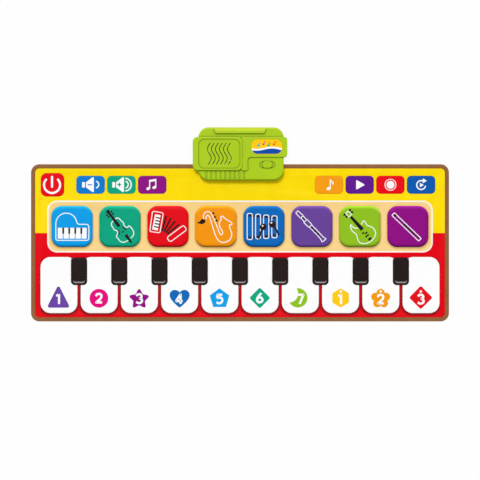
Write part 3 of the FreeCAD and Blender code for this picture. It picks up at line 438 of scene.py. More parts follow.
def stroke(paths, width, colour, closed=False, smooth=True, lift=0.02):
    drawn = drawCurve(paths, closed, smooth)
    drawn.data.dimensions = "3D"
    drawn.data.bevel_depth = width / 2 * mm
    drawn.data.bevel_resolution = 1
    drawn.data.use_fill_caps = True
    made = toMesh(drawn, colour, 0)
    made.data.transform(Matrix.Scale(inkThick["stroke"] / width, 4, (0, 0, 1)))
    made.data.transform(Matrix.Translation((0, 0, lift * mm)))
    made.data.shade_flat()
    return made


def fill(paths, colour, smooth=False, lift=0.06):
    drawn = drawCurve(paths, True, smooth)
    drawn.data.fill_mode = "BOTH"
    drawn.data.extrude = inkThick["fill"] / 2 * mm
    return toMesh(drawn, colour, lift)


def placePrint(name, parts, node, lift=0.0):
    printed = joinAll(name, parts)
    x, y, top = middle(node)
    printed.data.transform(Matrix.Translation((x, y, top + lift * mm)))
    finishPiece(printed, nodeBody[node])


# pads: soft crowned blocks

def roundedBlock(name, low, high, corner, segments=10):
    deselectAll()
    centre = [(a + b) / 2 for a, b in zip(low, high)]
    bpy.ops.mesh.primitive_cube_add(size=1, location=centre)
    block = bpy.context.object
    block.name = name
    block.scale = [b - a for a, b in zip(low, high)]
    bpy.ops.object.transform_apply(location=True, rotation=True, scale=True)
    bpy.ops.object.mode_set(mode="EDIT")
    pick(block, "EDGE", lambda e: abs(e.verts[0].co.z - e.verts[1].co.z) > 0.1 * (high[2] - low[2]))
    bpy.ops.mesh.bevel(offset=corner, segments=segments, affect="EDGES", offset_type="OFFSET")
    bpy.ops.object.mode_set(mode="OBJECT")
    return block


def crownTop(block, reach, rise, rings=6, flat=1.2 * mm):  # rounds the top over to a soft edge
    makeActive(block)
    bpy.ops.object.mode_set(mode="EDIT")
    top = max(v.co.z for v in block.data.vertices)
    pick(block, "FACE", lambda f: f.normal.z > 0.9 and f.calc_center_median().z > top - 1e-5)
    lastIn = 0.0
    lastUp = 0.0
    for ring in range(1, rings + 1):
        angle = math.pi / 2 * ring / rings
        inward = reach * (1 - math.cos(angle))
        upward = rise * math.sin(angle)
        bpy.ops.mesh.inset(thickness=inward - lastIn, depth=0, use_even_offset=True)
        bpy.ops.transform.translate(value=(0, 0, upward - lastUp))
        lastIn = inward
        lastUp = upward
    bpy.ops.mesh.inset(thickness=flat, depth=0, use_even_offset=True)
    bpy.ops.object.mode_set(mode="OBJECT")


padLap = {node: 1.5 * mm for node in whiteKeys + tiles + buttons}  # how far a pad reaches under the cover
padGrow = {"pad": 0.2, "window": 0.4, "notch": 0.55}  # past the pad's seen edge, in millimetres
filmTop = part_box("upper_contact_film")[1][2]


def padCorners(node, edge):
    low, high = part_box(node)
    lap = padLap.get(node, 0.0) - padGrow[edge] * mm
    return (low[0] + lap, low[1] + lap, low[2]), (high[0] - lap, high[1] - lap, high[2])


padStyle = {
    "tile": {"corner": 24 * mm, "reach": 9 * mm, "rise": 2.8 * mm, "segments": 14},
    "white": {"corner": 24 * mm, "reach": 4.5 * mm, "rise": 1.35 * mm, "segments": 14},
    "black": {"corner": 9 * mm, "reach": 4.2 * mm, "rise": 2.8 * mm, "segments": 8},
    "button": {"corner": 10 * mm, "reach": 3.0 * mm, "rise": 1.15 * mm, "segments": 8},
    "power": {"corner": 13.7 * mm, "reach": 3.0 * mm, "rise": 1.15 * mm, "segments": 8},
}
styleOf = {**dict.fromkeys(tiles, "tile"), **dict.fromkeys(whiteKeys, "white"), **dict.fromkeys(blackKeys, "black"),
           **dict.fromkeys(buttons, "button"), "power_button": "power"}


def padBlock(name, node):
    use = padStyle[styleOf[node]]
    low, high = padCorners(node, "pad")
    block = roundedBlock(name, (low[0], low[1], filmTop), (high[0], high[1], high[2] - use["rise"]),
                         use["corner"], use["segments"])
    crownTop(block, use["reach"], use["rise"])
    smoothEdges(block, 60)
    return block


def whiteOutline(node, left=None, right=None):  # in millimetres, with room for the black keys beside it
    low, high = padCorners(node, "pad")
    x0, y0, x1, y1 = low[0] / mm, low[1] / mm, high[0] / mm, high[1] / mm
    corner = padStyle["white"]["corner"] / mm

    def side(edge, black, sign):  # up one side of the key, seen as if it were the right one
        if not black:
            return [(edge, y1, corner)]
        start, end = padCorners(black, "notch")
        inner = (start[0] if sign > 0 else end[0]) / mm
        foot = start[1] / mm
        inset = sign * (edge - inner)
        drop = corner - math.sqrt(corner ** 2 - (corner - inset) ** 2)
        notchCorner = padStyle["black"]["corner"] / mm + padGrow["notch"]
        return [(edge, foot, 0), (inner, foot, notchCorner), (inner, y1 - drop, 0), (edge - sign * corner, y1, 0)]

    return rounded([(x0, y0, corner), (x1, y0, corner)] + side(x1, right, 1) + side(x0, left, -1)[::-1])


def whiteBlock(name, node, left=None, right=None):
    use = padStyle["white"]
    drawn = drawCurve([whiteOutline(node, left, right)], True, False)
    drawn.data.fill_mode = "NONE"
    makeActive(drawn)
    bpy.ops.object.convert(target="MESH")
    block = bpy.context.object
    block.name = name
    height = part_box(node)[1][2] - use["rise"] - filmTop
    bpy.ops.object.mode_set(mode="EDIT")
    bpy.ops.mesh.select_all(action="SELECT")
    bpy.ops.mesh.remove_doubles(threshold=0.01 * mm)
    bpy.ops.mesh.edge_face_add()
    bpy.ops.mesh.extrude_region_move(TRANSFORM_OT_translate={"value": (0, 0, height)})
    bpy.ops.mesh.select_all(action="SELECT")
    bpy.ops.mesh.normals_make_consistent(inside=False)
    bpy.ops.transform.translate(value=(0, 0, filmTop))
    bpy.ops.object.mode_set(mode="OBJECT")
    crownTop(block, use["reach"], use["rise"])
    smoothEdges(block, 60)
    return block


def makePads():
    vinyl = {}

    def paint(piece, colour, settings=None):
        key = (colour, str(settings))
        if key not in vinyl:
            vinyl[key] = vinylCloth("vinyl_%d_%d_%d" % colour, colour, settings)
        setMaterial(piece, vinyl[key])

    def copies(nodes, first):
        x0, y0 = middle(nodes[0])[:2]
        made = [first]
        for node in nodes[1:]:
            x, y = middle(node)[:2]
            made.append(copyTo(first, node + "_soft", (x - x0, y - y0, 0)))
        return made

    def finishPads(nodes, pieces, colours, settings=None):
        for node, piece, colour in zip(nodes, pieces, colours):
            piece.name = node + "_soft"
            paint(piece, colour, settings)
            finishPiece(piece, nodeBody[node], [node])

    tileColours = [(0, 158, 232), (0, 165, 128), (230, 0, 18), (246, 150, 4),
                   (0, 104, 186), (104, 66, 153), (143, 193, 28), (143, 4, 130)]
    finishPads(tiles, copies(tiles, padBlock("tile", tiles[0])), tileColours, {"rim": 1.0})

    first = whiteBlock("first", whiteKeys[0], right=blackKeys[0])
    second = whiteBlock("second", whiteKeys[1], blackKeys[0], blackKeys[1])
    last = whiteBlock("last", whiteKeys[-1], left=blackKeys[-1])
    whites = [first] + copies(whiteKeys[1:-1], second) + [last]
    finishPads(whiteKeys, whites, [(254, 254, 254)] * 10, {"roughness": 0.42, "blotch": 0.015})

    blacks = copies(blackKeys, padBlock("black", blackKeys[0]))
    finishPads(blackKeys, blacks, [(35, 24, 22)] * 9, {"roughness": 0.34})

    buttonColours = [(230, 0, 18), (0, 122, 208), (0, 165, 128), (143, 8, 131),
                     (249, 158, 8), (95, 19, 143), (235, 0, 20), (0, 88, 174)]
    soft = [padBlock("power", buttons[0])]
    soft += copies(buttons[1:4], padBlock("left", buttons[1]))
    soft += copies(buttons[4:], padBlock("right", buttons[4]))
    finishPads(buttons, soft, buttonColours)


makePads()
print("stage: pads made")


# what is printed on the pads

digits = {  # each stroke's points, and whether it bends
    "1": [([(-5.6, 7.0), (-2.6, 7.9), (0.4, 9.4)], True), ([(0.8, 10.6), (0.8, -11.2)], False)],
    "2": [([(-6.3, 4.6), (-4.8, 8.2), (0.1, 9.7), (5.0, 7.6), (5.5, 3.4), (2.4, -1.8), (-5.8, -9.0)], True),
          ([(-7.6, -9.2), (7.0, -9.2)], False)],
    "3": [([(-6.2, 6.2), (-3.2, 9.2), (1.4, 9.6), (5.0, 7.0), (4.6, 2.8), (0.2, 0.7)], True),
          ([(0.2, 0.7), (4.8, -0.8), (6.3, -4.8), (3.4, -8.8), (-1.4, -9.7), (-6.6, -7.2)], True)],
    "4": [([(3.0, 11.0), (3.0, -11.4)], False), ([(2.8, 9.6), (-6.6, -4.6)], False),
          ([(-8.2, -5.2), (7.6, -5.2)], False)],
    "5": [([(6.2, 9.2), (-4.6, 9.2)], False), ([(-4.0, 10.6), (-5.2, 1.0)], False),
          ([(-5.6, 1.2), (-1.0, 3.0), (4.0, 2.0), (6.3, -3.0), (4.0, -8.0), (-1.0, -9.7), (-6.6, -7.6)], True)],
    "6": [([(3.6, 10.6), (-1.6, 4.8), (-5.4, -1.6), (-5.8, -5.4), (-3.2, -9.0), (0.6, -9.9), (4.4, -8.2),
           (6.0, -4.4), (4.4, -0.6), (0.6, 1.0), (-3.2, -0.6)], True)],
    "7": [([(-7.4, 9.2), (7.4, 9.2)], False), ([(5.8, 9.4), (-2.6, -11.2)], False)],
}


def digit(sign, x, y, size=1.0):
    width = 4.9 * size
    parts = []
    for smooth in (True, False):
        paths = [[(x + px * size, y + py * size) for px, py in path]
                 for path, bend in digits[sign] if bend == smooth]
        if paths:
            parts.append(stroke(paths, width, white, smooth=smooth, lift=0.14))
    return parts


def star(x, y, outer, inner, soft):
    corners = []
    for i in range(10):
        reach = outer if i % 2 == 0 else inner
        angle = math.radians(90 + 36 * i)
        corners.append((x + reach * math.cos(angle), y + reach * math.sin(angle), soft))
    return rounded(corners)


def keyShapes():  # each key's colour, outlines, digit, the digit's place and the dot's place
    heart = [(0, 11.5), (4.5, 15.8), (11, 17.8), (18, 16.2), (23, 11), (24, 4), (21.5, -3.5),
             (14, -13), (6, -20.5), (0, -25)]
    heart = heart + [(-x, y) for x, y in heart[-2:0:-1]]
    crescent = circle(-6, -1.5, 23, 97.5, -150, 48) + circle(-27, 9, 21.7, -88, 38.5, 24)
    turns = [math.radians(90 + 72 * i) for i in range(5)]
    flower = [circle(-0.5 + 13.6 * math.cos(turn), -3.2 + 13.6 * math.sin(turn), 9.8) for turn in turns]
    return [
        ((106, 69, 165), [rounded([(-29, -25, 4.2), (27, -25, 4.2), (-1, 30.5, 4.2)])], "1", (-0.5, -4), None),
        ((228, 0, 127), [circle(-0.5, -2.5, 22.4, steps=64)], "2", (-0.5, -2.5), None),
        ((146, 0, 135), [star(-0.5, -4.6, 28, 14.6, 3.6)], "3", (-0.5, -3.5), None),
        ((4, 106, 183), [heart], "4", (-1.0, -3.5), None),
        ((4, 162, 236), [rounded([(-16, -23.3, 1.5), (14.5, -23.3, 1.5), (22.6, 4.4, 1.5), (-0.8, 21.4, 1.5),
                                  (-24.2, 4.4, 1.5)])], "5", (-1.0, -4), None),
        ((0, 168, 130), [rounded([(-0.8, -27, 4), (24.3, -1.6, 4), (-0.8, 23.4, 4), (-26, -1.6, 4)])], "6",
         (-1.0, -1.5), None),
        ((146, 195, 25), [crescent], "7", (1.0, -4), None),
        ((255, 205, 0), [rounded([(0, -24.6, 4), (19.8, -13, 4), (19.8, 9.6, 4), (0, 21.2, 4), (-19.8, 9.6, 4),
                                  (-19.8, -13, 4)])], "1", (0.0, -4.5), (0.4, 13.6)),
        ((245, 155, 0), flower + [circle(-0.5, -3.2, 14)], "2", (-0.5, -4.8), (-0.6, 13.8)),
        ((230, 5, 20), [rounded([(-0.8, -29, 4), (27.4, -1, 4), (-0.8, 27.6, 4), (-29, -1, 4)])], "3",
         (-0.8, -4.6), (-0.8, 13.8)),
    ]


shapeMiddle = -130  # along Y, in millimetres


def printKeys():
    for node, (colour, outlines, sign, place, dot) in zip(whiteKeys, keyShapes()):
        low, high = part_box(node)
        drop = shapeMiddle - (low[1] + high[1]) / 2 / mm
        parts = []
        for outline in outlines:  # each part of a shape is filled by itself, a hair apart in height
            parts.append(fill([outline], colour, lift=0.06 + 0.004 * len(parts)))
        parts += digit(sign, place[0], place[1], 1.08)
        if dot:
            parts.append(fill([circle(dot[0], dot[1], 2.9, steps=24)], white, lift=0.14))
        for part in parts:
            part.data.transform(Matrix.Translation((0, drop * mm, 0)))
        placePrint(node + "_print", parts, node)


def printBlackKeys():
    gleam = Finish("black_key_gleam", roughness=0.35, specular=0.15)
    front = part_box(blackKeys[0])[0][1]
    fade = gleam.spread(gleam.axis("Y"), 1.0, 0.0, front + 6 * mm, front + 13 * mm)
    gleam.colour(gleam.mix(fade, linear((35, 24, 22)), linear((150, 145, 142))))
    gleam.bump(gleam.noise(900.0), 0.02 * mm, 0.5)
    for node in blackKeys:
        outline = rounded([(-14.2, -20.5, 0.5), (-14.2, -28.2, 6), (14.2, -28.2, 6), (14.2, -20.5, 0.5),
                           (10.8, -24.6, 3), (-10.8, -24.6, 3)])
        part = fill([outline], black)
        part.data.materials[0] = gleam.material
        placePrint(node + "_gleam", [part], node, -0.03)


def pianoPrint():
    arch = [(x, y, 0) for x, y in circle(-13.6, 7, 25, 22, 180, 18)]
    case = rounded([(-38.6, -33, 5), (40.3, -33, 5), (40.3, 5.3, 6.5), (13.4, 5.3, 6)] + arch)
    parts = [stroke([case], 2.2, white, closed=True, smooth=False)]
    edges = [-34.8, -21, -6.7, 7.8, 22.2, 35.8]
    keys = [box((a + b) / 2, -16, b - a - 1.9, 26, 1.4) for a, b in zip(edges, edges[1:])]
    parts.append(fill(keys, white))
    parts.append(fill([box(x, -10.2, 4.3, 14.4, 0.6) for x in edges[1:-1]], black, lift=0.16))
    return parts


def violinPrint():
    right = [(-11.5, 17.4), (-8.6, 20), (-4.4, 20), (0, 17), (4.6, 12), (8.4, 9), (8.8, 5.6), (11, 1), (15, -2),
             (18.4, -1.4), (21, 1.4), (26, -2), (31, -9), (33, -16), (30.4, -23), (25.4, -28)]
    left = [(20, -32.4), (14, -36), (7, -37.6), (1, -35.4), (-4, -29.6), (-8.4, -23), (-6.4, -18.4), (-5.4, -14),
            (-8.4, -9.6), (-14.6, -7.4), (-16.4, -3), (-19.4, 1), (-20.4, 6), (-18.8, 10.6), (-15.4, 13.6)]
    parts = [stroke([right, left], 2.1, white)]
    neck = rounded([(-25.4, 27.2, 0.8), (-21.2, 30.4, 0.8), (1.4, 2.2, 1), (-5.4, -2.2, 1)])
    tail = rounded([(10.4, -22, 0.8), (16.8, -17.4, 0.8), (28.2, -36, 1.4), (24.8, -39, 1.4)])
    parts.append(fill([neck], black, lift=0.16))
    parts.append(fill([tail], black, lift=0.16))
    knobs = [(-28.6, 35.4, 4.4), (-20.6, 35.4, 2.3), (-16.6, 30.6, 2.3), (-31.4, 27, 2.3), (-27.4, 23, 2.3),
             (26.6, -37.4, 2.4)]
    for knob in knobs:
        parts.append(fill([circle(*knob, steps=20)], black, lift=0.17))
    parts.append(stroke([[(-29, 35), (-22, 26.6)]], 5.2, black, smooth=False, lift=0.1))
    pegs = [[(-31.4, 27), (-20.6, 35.4)], [(-27.4, 23), (-16.6, 30.6)]]
    parts.append(stroke(pegs, 1.4, black, smooth=False, lift=0.1))
    sounds = [[(5.6, -1), (9.4, -3), (12.4, -6.4), (16, -6.8)], [(-4, -7.4), (-2.8, -11), (-2.4, -15), (-0.4, -19.6)]]
    parts.append(stroke(sounds, 2.7, black, lift=0.1))
    parts.append(stroke([[(4, -14.6), (9.6, -10.4)]], 2.8, black, smooth=False, lift=0.1))
    return parts


def accordionPrint():
    left = rounded([(-37, 36.8, 4), (-43.6, -11.8, 4), (-19.4, -15.2, 4), (-11, 32.6, 4)])
    right = box(21, -17, 50, 13.6, 5, 36.5)
    parts = [stroke([left, right], 2.1, white, closed=True, smooth=False)]
    keys = rounded([(-30.8, 29.6, 1), (-38, -6.8, 1), (-24.6, -9.4, 1), (-17.6, 27, 1)])
    parts.append(fill([keys], white))
    notches = [[(-18.6, 19.8), (-29.0, 21.7)], [(-20, 12.6), (-30.4, 14.5)], [(-21.4, 5.4), (-31.8, 7.3)],
               [(-22.8, -2), (-33.2, -0.1)]]
    bellows = [[(-13.8, -10.4), (-4.6, 25)], [(-9.4, -12.4), (6.8, 20)], [(-5.4, -15), (17, 13)],
               [(-2, -18.2), (26.6, 5.4)]]
    parts.append(stroke(notches, 3.1, black, smooth=False, lift=0.12))
    parts.append(stroke(bellows, 4.0, black, smooth=False, lift=0.1))
    return parts


def saxophonePrint():
    body = [(-27.4, 14), (-29.8, 20), (-29.6, 28), (-25.6, 33.8), (-19.4, 35.6), (-13.2, 33), (-8.6, 26), (-4.4, 16),
            (0.4, 5), (5, -7), (8.6, -16), (11.8, -19.6), (15.6, -17), (15, -11.6), (11, -4.6), (8, 2.6), (8.6, 10),
            (12.6, 18.4), (11.4, 22.6), (14.6, 24.6), (20, 20.6), (30, 13.8), (37.4, 8.6), (37, 4), (32.6, 4.2),
            (32.6, -1.6), (35.6, -10), (37.4, -20), (34, -30), (26, -36), (16, -38), (8, -35), (2, -28), (-2.6, -18),
            (-6.6, -5), (-10.4, 7), (-14, 19), (-17.4, 25.6), (-20.6, 26.8), (-23.4, 23), (-23.6, 17.6)]
    parts = [stroke([body], 2.1, white)]
    mouth = [(-44, 8.2), (-39, 12.2), (-34, 17.4), (-28, 17.2), (-25.4, 12.4), (-28.4, 7.8), (-34.4, 5.8), (-39.4, 7)]
    parts.append(fill([mouth], black, smooth=True, lift=0.1))
    for x, y in ((-6.6, 32), (-2.6, 23.6), (1.4, 14.8)):
        valve = rounded([(x - 3.6, y - 3.0, 0.6), (x + 3.6, y - 2.6, 0.6), (x + 0.2, y + 4.2, 0.6)])
        parts.append(fill([valve], black, lift=0.1))
    return parts


def xylophonePrint():
    bars = [(-34, 0.1, 12.6, 62.4), (-14.2, 0, 11.8, 59), (5.2, -0.5, 12.6, 56), (24.9, -0.7, 12.6, 52.4)]
    outlines = [box(x, y, width, height, 4) for x, y, width, height in bars]
    parts = [stroke(outlines, 2.0, white, closed=True, smooth=False)]
    pins = [(-33.6, 26), (-14.4, 24), (5, 23.4), (24.6, 21.2), (-33.6, -26.4), (-14.2, -24.8), (5.4, -23),
            (24.8, -20.6)]
    rails = [(-24, 25.6), (-4.6, 23.6), (15, 20.8), (-24, -25.4), (-4.4, -24), (15, -21.8)]
    wood = (42, 18, 12)
    parts.append(fill([box(x, y, 6.4, 5.4, 1.2) for x, y in pins], wood))
    parts.append(fill([box(x, y, 3.4, 6.6, 0.8) for x, y in rails], wood))
    parts.append(stroke([[(-5, -7), (-13, -29.6)], [(25, -0.6), (36, -20.6)]], 4.4, wood, smooth=False, lift=0.2))
    parts.append(fill([circle(-2, -1, 8), circle(19.6, 5.6, 8)], wood, lift=0.26))
    parts.append(fill([circle(-3.4, 1.6, 2, steps=20), circle(17.8, 9, 2, steps=20)], white, lift=0.4))
    return parts


def clarinetPrint():
    mouth = rounded([(-38.8, 32.2, 1), (-27.4, 19.6, 1.5), (-20.8, 26.2, 1.5), (-33.6, 37.8, 1)])
    barrel = rounded([(-19.6, 9.4, 1.5), (-7.2, -2.2, 1.5), (-0.2, 5, 1.5), (-12, 17.2, 1.5)])
    bell = rounded([(-6, -1.8, 1), (13, -21, 20), (21.4, -31, 10), (24.4, -37.4, 1.5), (34, -29.2, 1.5),
                    (27, -25.4, 10), (18, -15.4, 20), (-0.8, 3.8, 1)])
    parts = [stroke([mouth, barrel, bell], 2.0, white, closed=True, smooth=False)]
    parts.append(stroke([[(-26.2, 21), (-18.8, 11)], [(-21.4, 25.6), (-12.6, 16)]], 2.0, white, smooth=False))
    parts.append(stroke([[(-21, 19.6), (-15.4, 13.2)], [(-4, 1.4), (22, -26.6)]], 1.1, black, smooth=False, lift=0.05))
    for x, y, size in ((-21.6, 20, 2.6), (-0.2, -3, 2.6), (7, -10.6, 2.6), (14.4, -18.4, 2.4)):
        parts.append(fill([circle(x, y, size, steps=20)], black, lift=0.18))
    return parts


def guitarPrint():
    body = [(3.4, 4.4), (5.6, 10), (9, 13.4), (12.2, 11), (14.8, 6), (18.6, 2.2), (25.4, 0), (32.4, -5), (37, -13),
            (36.2, -22), (31, -30.4), (22, -37.4), (10, -41), (0, -38.4), (-5, -32), (-7, -24.4), (-9.6, -18),
            (-14, -14.4), (-19, -10), (-22, -3), (-22.6, 2), (-21, 4), (-18.8, 0.6), (-15, -2.6), (-9.6, -4),
            (-4.4, -3.6)]
    head = rounded([(-36, 35.6, 1.4), (-27, 22, 1.6), (-19.6, 29.4, 1.6), (-29.6, 37.6, 1.4), (-30.8, 33, 1)])
    parts = [stroke([body], 2.1, white)]
    parts.append(stroke([head], 2.1, white, closed=True, smooth=False))
    neck = rounded([(-24.6, 21.6, 0.8), (2.4, -10.4, 1.2), (9.2, -4.2, 1.2), (-20, 25.8, 0.8)])
    parts.append(fill([neck], black, lift=0.14))
    for x, y in ((-24, 39.4), (-19, 34), (-37, 28), (-32, 23.4)):
        parts.append(fill([circle(x, y, 2.9, steps=20)], black))
    pickups = [[(5.4, -17.6), (10, -13.6)], [(12, -18.2), (17.6, -13)], [(13, -25.6), (21, -19)]]
    parts.append(stroke(pickups, 3.6, black, smooth=False))
    parts.append(stroke([[(20, -32.2), (27, -27)]], 5.6, black, smooth=False))
    return parts


def flutePrint():
    tube = box(-3.5, -1, 88.6, 8.6, 1.4, -43.8)
    parts = [stroke([tube], 2.0, white, closed=True, smooth=False)]
    parts.append(fill([circle(-31, 26.4, 2.9, steps=20)], black))
    for i in range(8):
        parts.append(fill([box(-8.4 + 4.5 * i, 3.8 - 4.33 * i, 4.2, 4.4, 0.8, -43.8)], black))
    return parts


def speaker(x):
    cone = rounded([(x - 11, 6, 1), (x - 11, -6, 1), (x + 5, -17.6, 2), (x + 8, -16.4, 1.5), (x + 8, 17.2, 1.5),
                    (x + 5, 18.2, 2)])
    return [fill([box(x - 16.8, 0, 6.8, 13, 0.8)], white), fill([cone], white)]


def noteHead(x, y, reach, height):  # a tilted oval
    turns = [math.tau * i / 24 for i in range(24)]
    outline = [(x + reach * math.cos(t) * 0.94 - height * math.sin(t) * 0.34,
                y + reach * math.cos(t) * 0.34 + height * math.sin(t) * 0.94) for t in turns]
    return fill([outline], white, lift=0.1)


def buttonPrints():
    blue = (0, 122, 208)
    green = (0, 165, 128)
    power = [stroke([circle(-1, -0.4, 19.2, 138, 402)], 5, white, smooth=False),
             stroke([[(-1, -4.6), (-1, 19)]], 5, white, smooth=False, lift=0.03)]
    for x, y in ((-15.3, 12.4), (13.3, 12.4), (-1, -4.6), (-1, 19)):
        power.append(fill([circle(x, y, 2.5, steps=20)], white, lift=0.05))
    down = speaker(0)
    down.append(stroke([[(-6.4, 0), (3.6, 0)]], 3, blue, smooth=False, lift=0.1))
    down.append(stroke([circle(11.4, 0.4, 8.2, 78, -78, 20)], 3, white, smooth=False))
    up = speaker(-1.6)
    up.append(stroke([[(-9.6, 0.4), (0, 0.4)], [(-4.8, -4.6), (-4.8, 5.4)]], 3.2, green, smooth=False, lift=0.1))
    ripples = [circle(8, 0.4, 8.4, 74, -74, 20), circle(8.4, 0.4, 15.2, 86, -86, 30)]
    up.append(stroke(ripples, 3, white, smooth=False))
    demo = [stroke([[(-6, -8), (-6, 10)], [(8.6, -5.4), (8.6, 12.6)]], 2.6, white, smooth=False, lift=0.03),
            fill([rounded([(-7.3, 6.4, 0.5), (9.9, 9.2, 0.5), (9.9, 14.4, 0.5), (-7.3, 11.6, 0.5)])], white, lift=0.08)]
    demo += [noteHead(x, y, 4.8, 3.4) for x, y in ((-9.4, -9), (5.2, -6.4))]
    note = [stroke([[(3, -8), (3, 13)]], 2.6, white, smooth=False, lift=0.03),
            stroke([[(3, 12.4), (5.4, 8.4), (9.6, 5.4), (9, 0.6)]], 2.6, white, lift=0.05),
            noteHead(-0.8, -9, 5.2, 3.8)]
    play = [fill([rounded([(-8.6, -12, 1.6), (13, 0, 1.6), (-8.6, 12, 1.6)])], white)]
    record = [fill([circle(0, 0, 9.4)], white),
              stroke([circle(0, 0, 13.2)], 1.8, white, closed=True, smooth=False)]
    again = [stroke([circle(0, -0.6, 10.6, 62, 350)], 3, white, smooth=False),
             fill([rounded([(4, 15.6, 0.6), (13.6, 9.6, 0.6), (3.6, 3.4, 0.6)])], white, lift=0.1),
             fill([rounded([(-3, -6, 0.8), (6.4, -0.6, 0.8), (-3, 4.8, 0.8)])], white)]
    return [power, down, up, demo, note, play, record, again]


def printPads():
    makers = [pianoPrint, violinPrint, accordionPrint, saxophonePrint, xylophonePrint, clarinetPrint, guitarPrint,
              flutePrint]
    for node, maker in zip(tiles, makers):
        placePrint(node + "_print", maker(), node)
    for node, parts in zip(buttons, buttonPrints()):
        placePrint(node + "_print", parts, node)


printKeys()
printBlackKeys()
printPads()
print("stage: prints made")


# the mat's cover, binding and backing

matLow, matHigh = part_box("edge_binding")
panel = {"side": 461 * mm, "front": -23 * mm, "rear": 101 * mm, "corner": 24 * mm, "border": 3.2 * mm,
         "split": 23.4 * mm}
tape = {"band": 10 * mm, "corner": 20 * mm, "edge": 1.8 * mm, "thick": 0.48 * mm}
stitch = {"length": 4.2 * mm, "pitch": 6.0 * mm, "thick": 0.5 * mm, "inset": 8.2 * mm}


def coverFinish():
    finish = Finish("printed_cover", specular=0.06)
    upper = finish.spread(finish.axis("Y"), 0.0, 1.0, panel["split"] - 0.2 * mm, panel["split"] + 0.2 * mm)
    # painted shadow: the red is painted darker between and below the white keys, the tan darker below the tiles
    keyShade = {"first": -433 * mm, "pitch": 96.2 * mm, "centre": (0, -104.5 * mm), "half": (48 * mm, 69.5 * mm)}
    tileShade = {"first": -401.8 * mm, "pitch": 114.8 * mm, "centre": (0, 36 * mm), "half": (49.2 * mm, 49 * mm)}
    keys = finish.repeated(keyShade["first"], keyShade["pitch"])
    shade = finish.roundedMask(keyShade["centre"], keyShade["half"], 26 * mm, 3.5 * mm, keys)
    row = finish.spread(finish.math("ABSOLUTE", finish.axis("X")), 0.95, 0.0, 475 * mm, 481 * mm)
    red = finish.mix(finish.math("MULTIPLY", shade, row), linear((233, 0, 20)), linear((132, 0, 6)))
    colour = finish.mix(upper, red, linear((255, 223, 0)))
    centre = (0, (panel["front"] + panel["rear"]) / 2)
    half = (panel["side"], (panel["rear"] - panel["front"]) / 2)
    frameMask = finish.roundedMask(centre, half, panel["corner"])
    inner = (half[0] - panel["border"], half[1] - panel["border"])
    fieldMask = finish.roundedMask(centre, inner, panel["corner"] - panel["border"])
    colour = finish.mix(frameMask, colour, linear((252, 250, 244)))
    tileRow = finish.repeated(tileShade["first"], tileShade["pitch"])
    below = finish.roundedMask(tileShade["centre"], tileShade["half"], 24 * mm, 4 * mm, tileRow)
    tan = finish.mix(finish.math("MULTIPLY", below, 0.9), linear((252, 214, 140)), linear((160, 124, 70)))
    colour = finish.mix(fieldMask, colour, tan)
    finish.colour(finish.blotch(colour, 30.0, 0.035))
    finish.roughness(finish.spread(finish.noise(80.0, 3.0), 0.42, 0.56, 0.3, 0.7))
    finish.bump(clothHeight(finish, 1.1 * mm, 0.55), 0.07 * mm, 0.6)
    return finish.material


def makeCover():
    low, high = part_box("cover_sheet")
    cover = roundedBlock("cover_cloth", low, high, 18.5 * mm, 12)
    cutters = []
    for node in whiteKeys + blackKeys + tiles + buttons:
        use = padStyle[styleOf[node]]
        start, end = padCorners(node, "window")
        cutters.append(roundedBlock("window", (start[0], start[1], low[2] - mm), (end[0], end[1], high[2] + mm),
                                    use["corner"] + padGrow["window"] * mm, use["segments"]))
    carveAway(cover, joinAll("windows", cutters), True)
    soften = cover.modifiers.new("soften", "BEVEL")
    soften.width = 0.25 * mm
    soften.segments = 2
    soften.limit_method = "ANGLE"
    soften.angle_limit = math.radians(50)
    bpy.ops.object.modifier_apply(modifier=soften.name)
    smoothEdges(cover, 30)
    setMaterial(cover, coverFinish())
    finishPiece(cover, "mat", ["cover_sheet"])
    return cover


def tapeFinish():
    finish = Finish("binding_tape", roughness=0.7, specular=0.25, sheen=0.2)
    finish.colour(finish.blotch(linear((148, 97, 52)), 60.0, 0.12))
    ribs = finish.math("MULTIPLY", finish.wave("DIAGONAL", 0.9 * mm), finish.noise(700.0, 2.0))
    finish.bump(finish.math("ADD", ribs, finish.math("MULTIPLY", finish.noise(90.0), 1.5)), 0.12 * mm, 0.8)
    return finish.material


def makeBinding():
    block = roundedBlock("binding_tape", matLow, matHigh, tape["corner"], 14)
    makeActive(block)
    bpy.ops.object.mode_set(mode="EDIT")
    pick(block, "EDGE", lambda e: abs(e.verts[0].co.z - e.verts[1].co.z) < 1e-6)
    bpy.ops.mesh.bevel(offset=tape["edge"], segments=4, affect="EDGES")
    flat = lambda f: abs(f.normal.z) > 0.99 and f.calc_area() > 0.1  # the mat's whole top and bottom
    pick(block, "FACE", flat)
    bpy.ops.mesh.inset(thickness=tape["band"] - tape["edge"], depth=0, use_individual=True)
    pick(block, "FACE", flat)
    bpy.ops.mesh.delete(type="FACE")
    bpy.ops.object.mode_set(mode="OBJECT")
    wall = block.modifiers.new("wall", "SOLIDIFY")
    wall.thickness = tape["thick"]
    wall.offset = -1
    bpy.ops.object.modifier_apply(modifier=wall.name)
    shellLow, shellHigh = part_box("rear_shell")
    start = (shellLow[0] + 2.3 * mm, matHigh[1] - 11 * mm, -mm)
    end = (shellHigh[0] - 2.3 * mm, matHigh[1] + 2 * mm, 0.02)
    carveAway(block, roundedBlock("gap", start, end, 0.5 * mm, 1))  # the tape stops where the sound box clamps
    smoothEdges(block, 35)
    setMaterial(block, tapeFinish())
    finishPiece(block, "mat", ["edge_binding"])


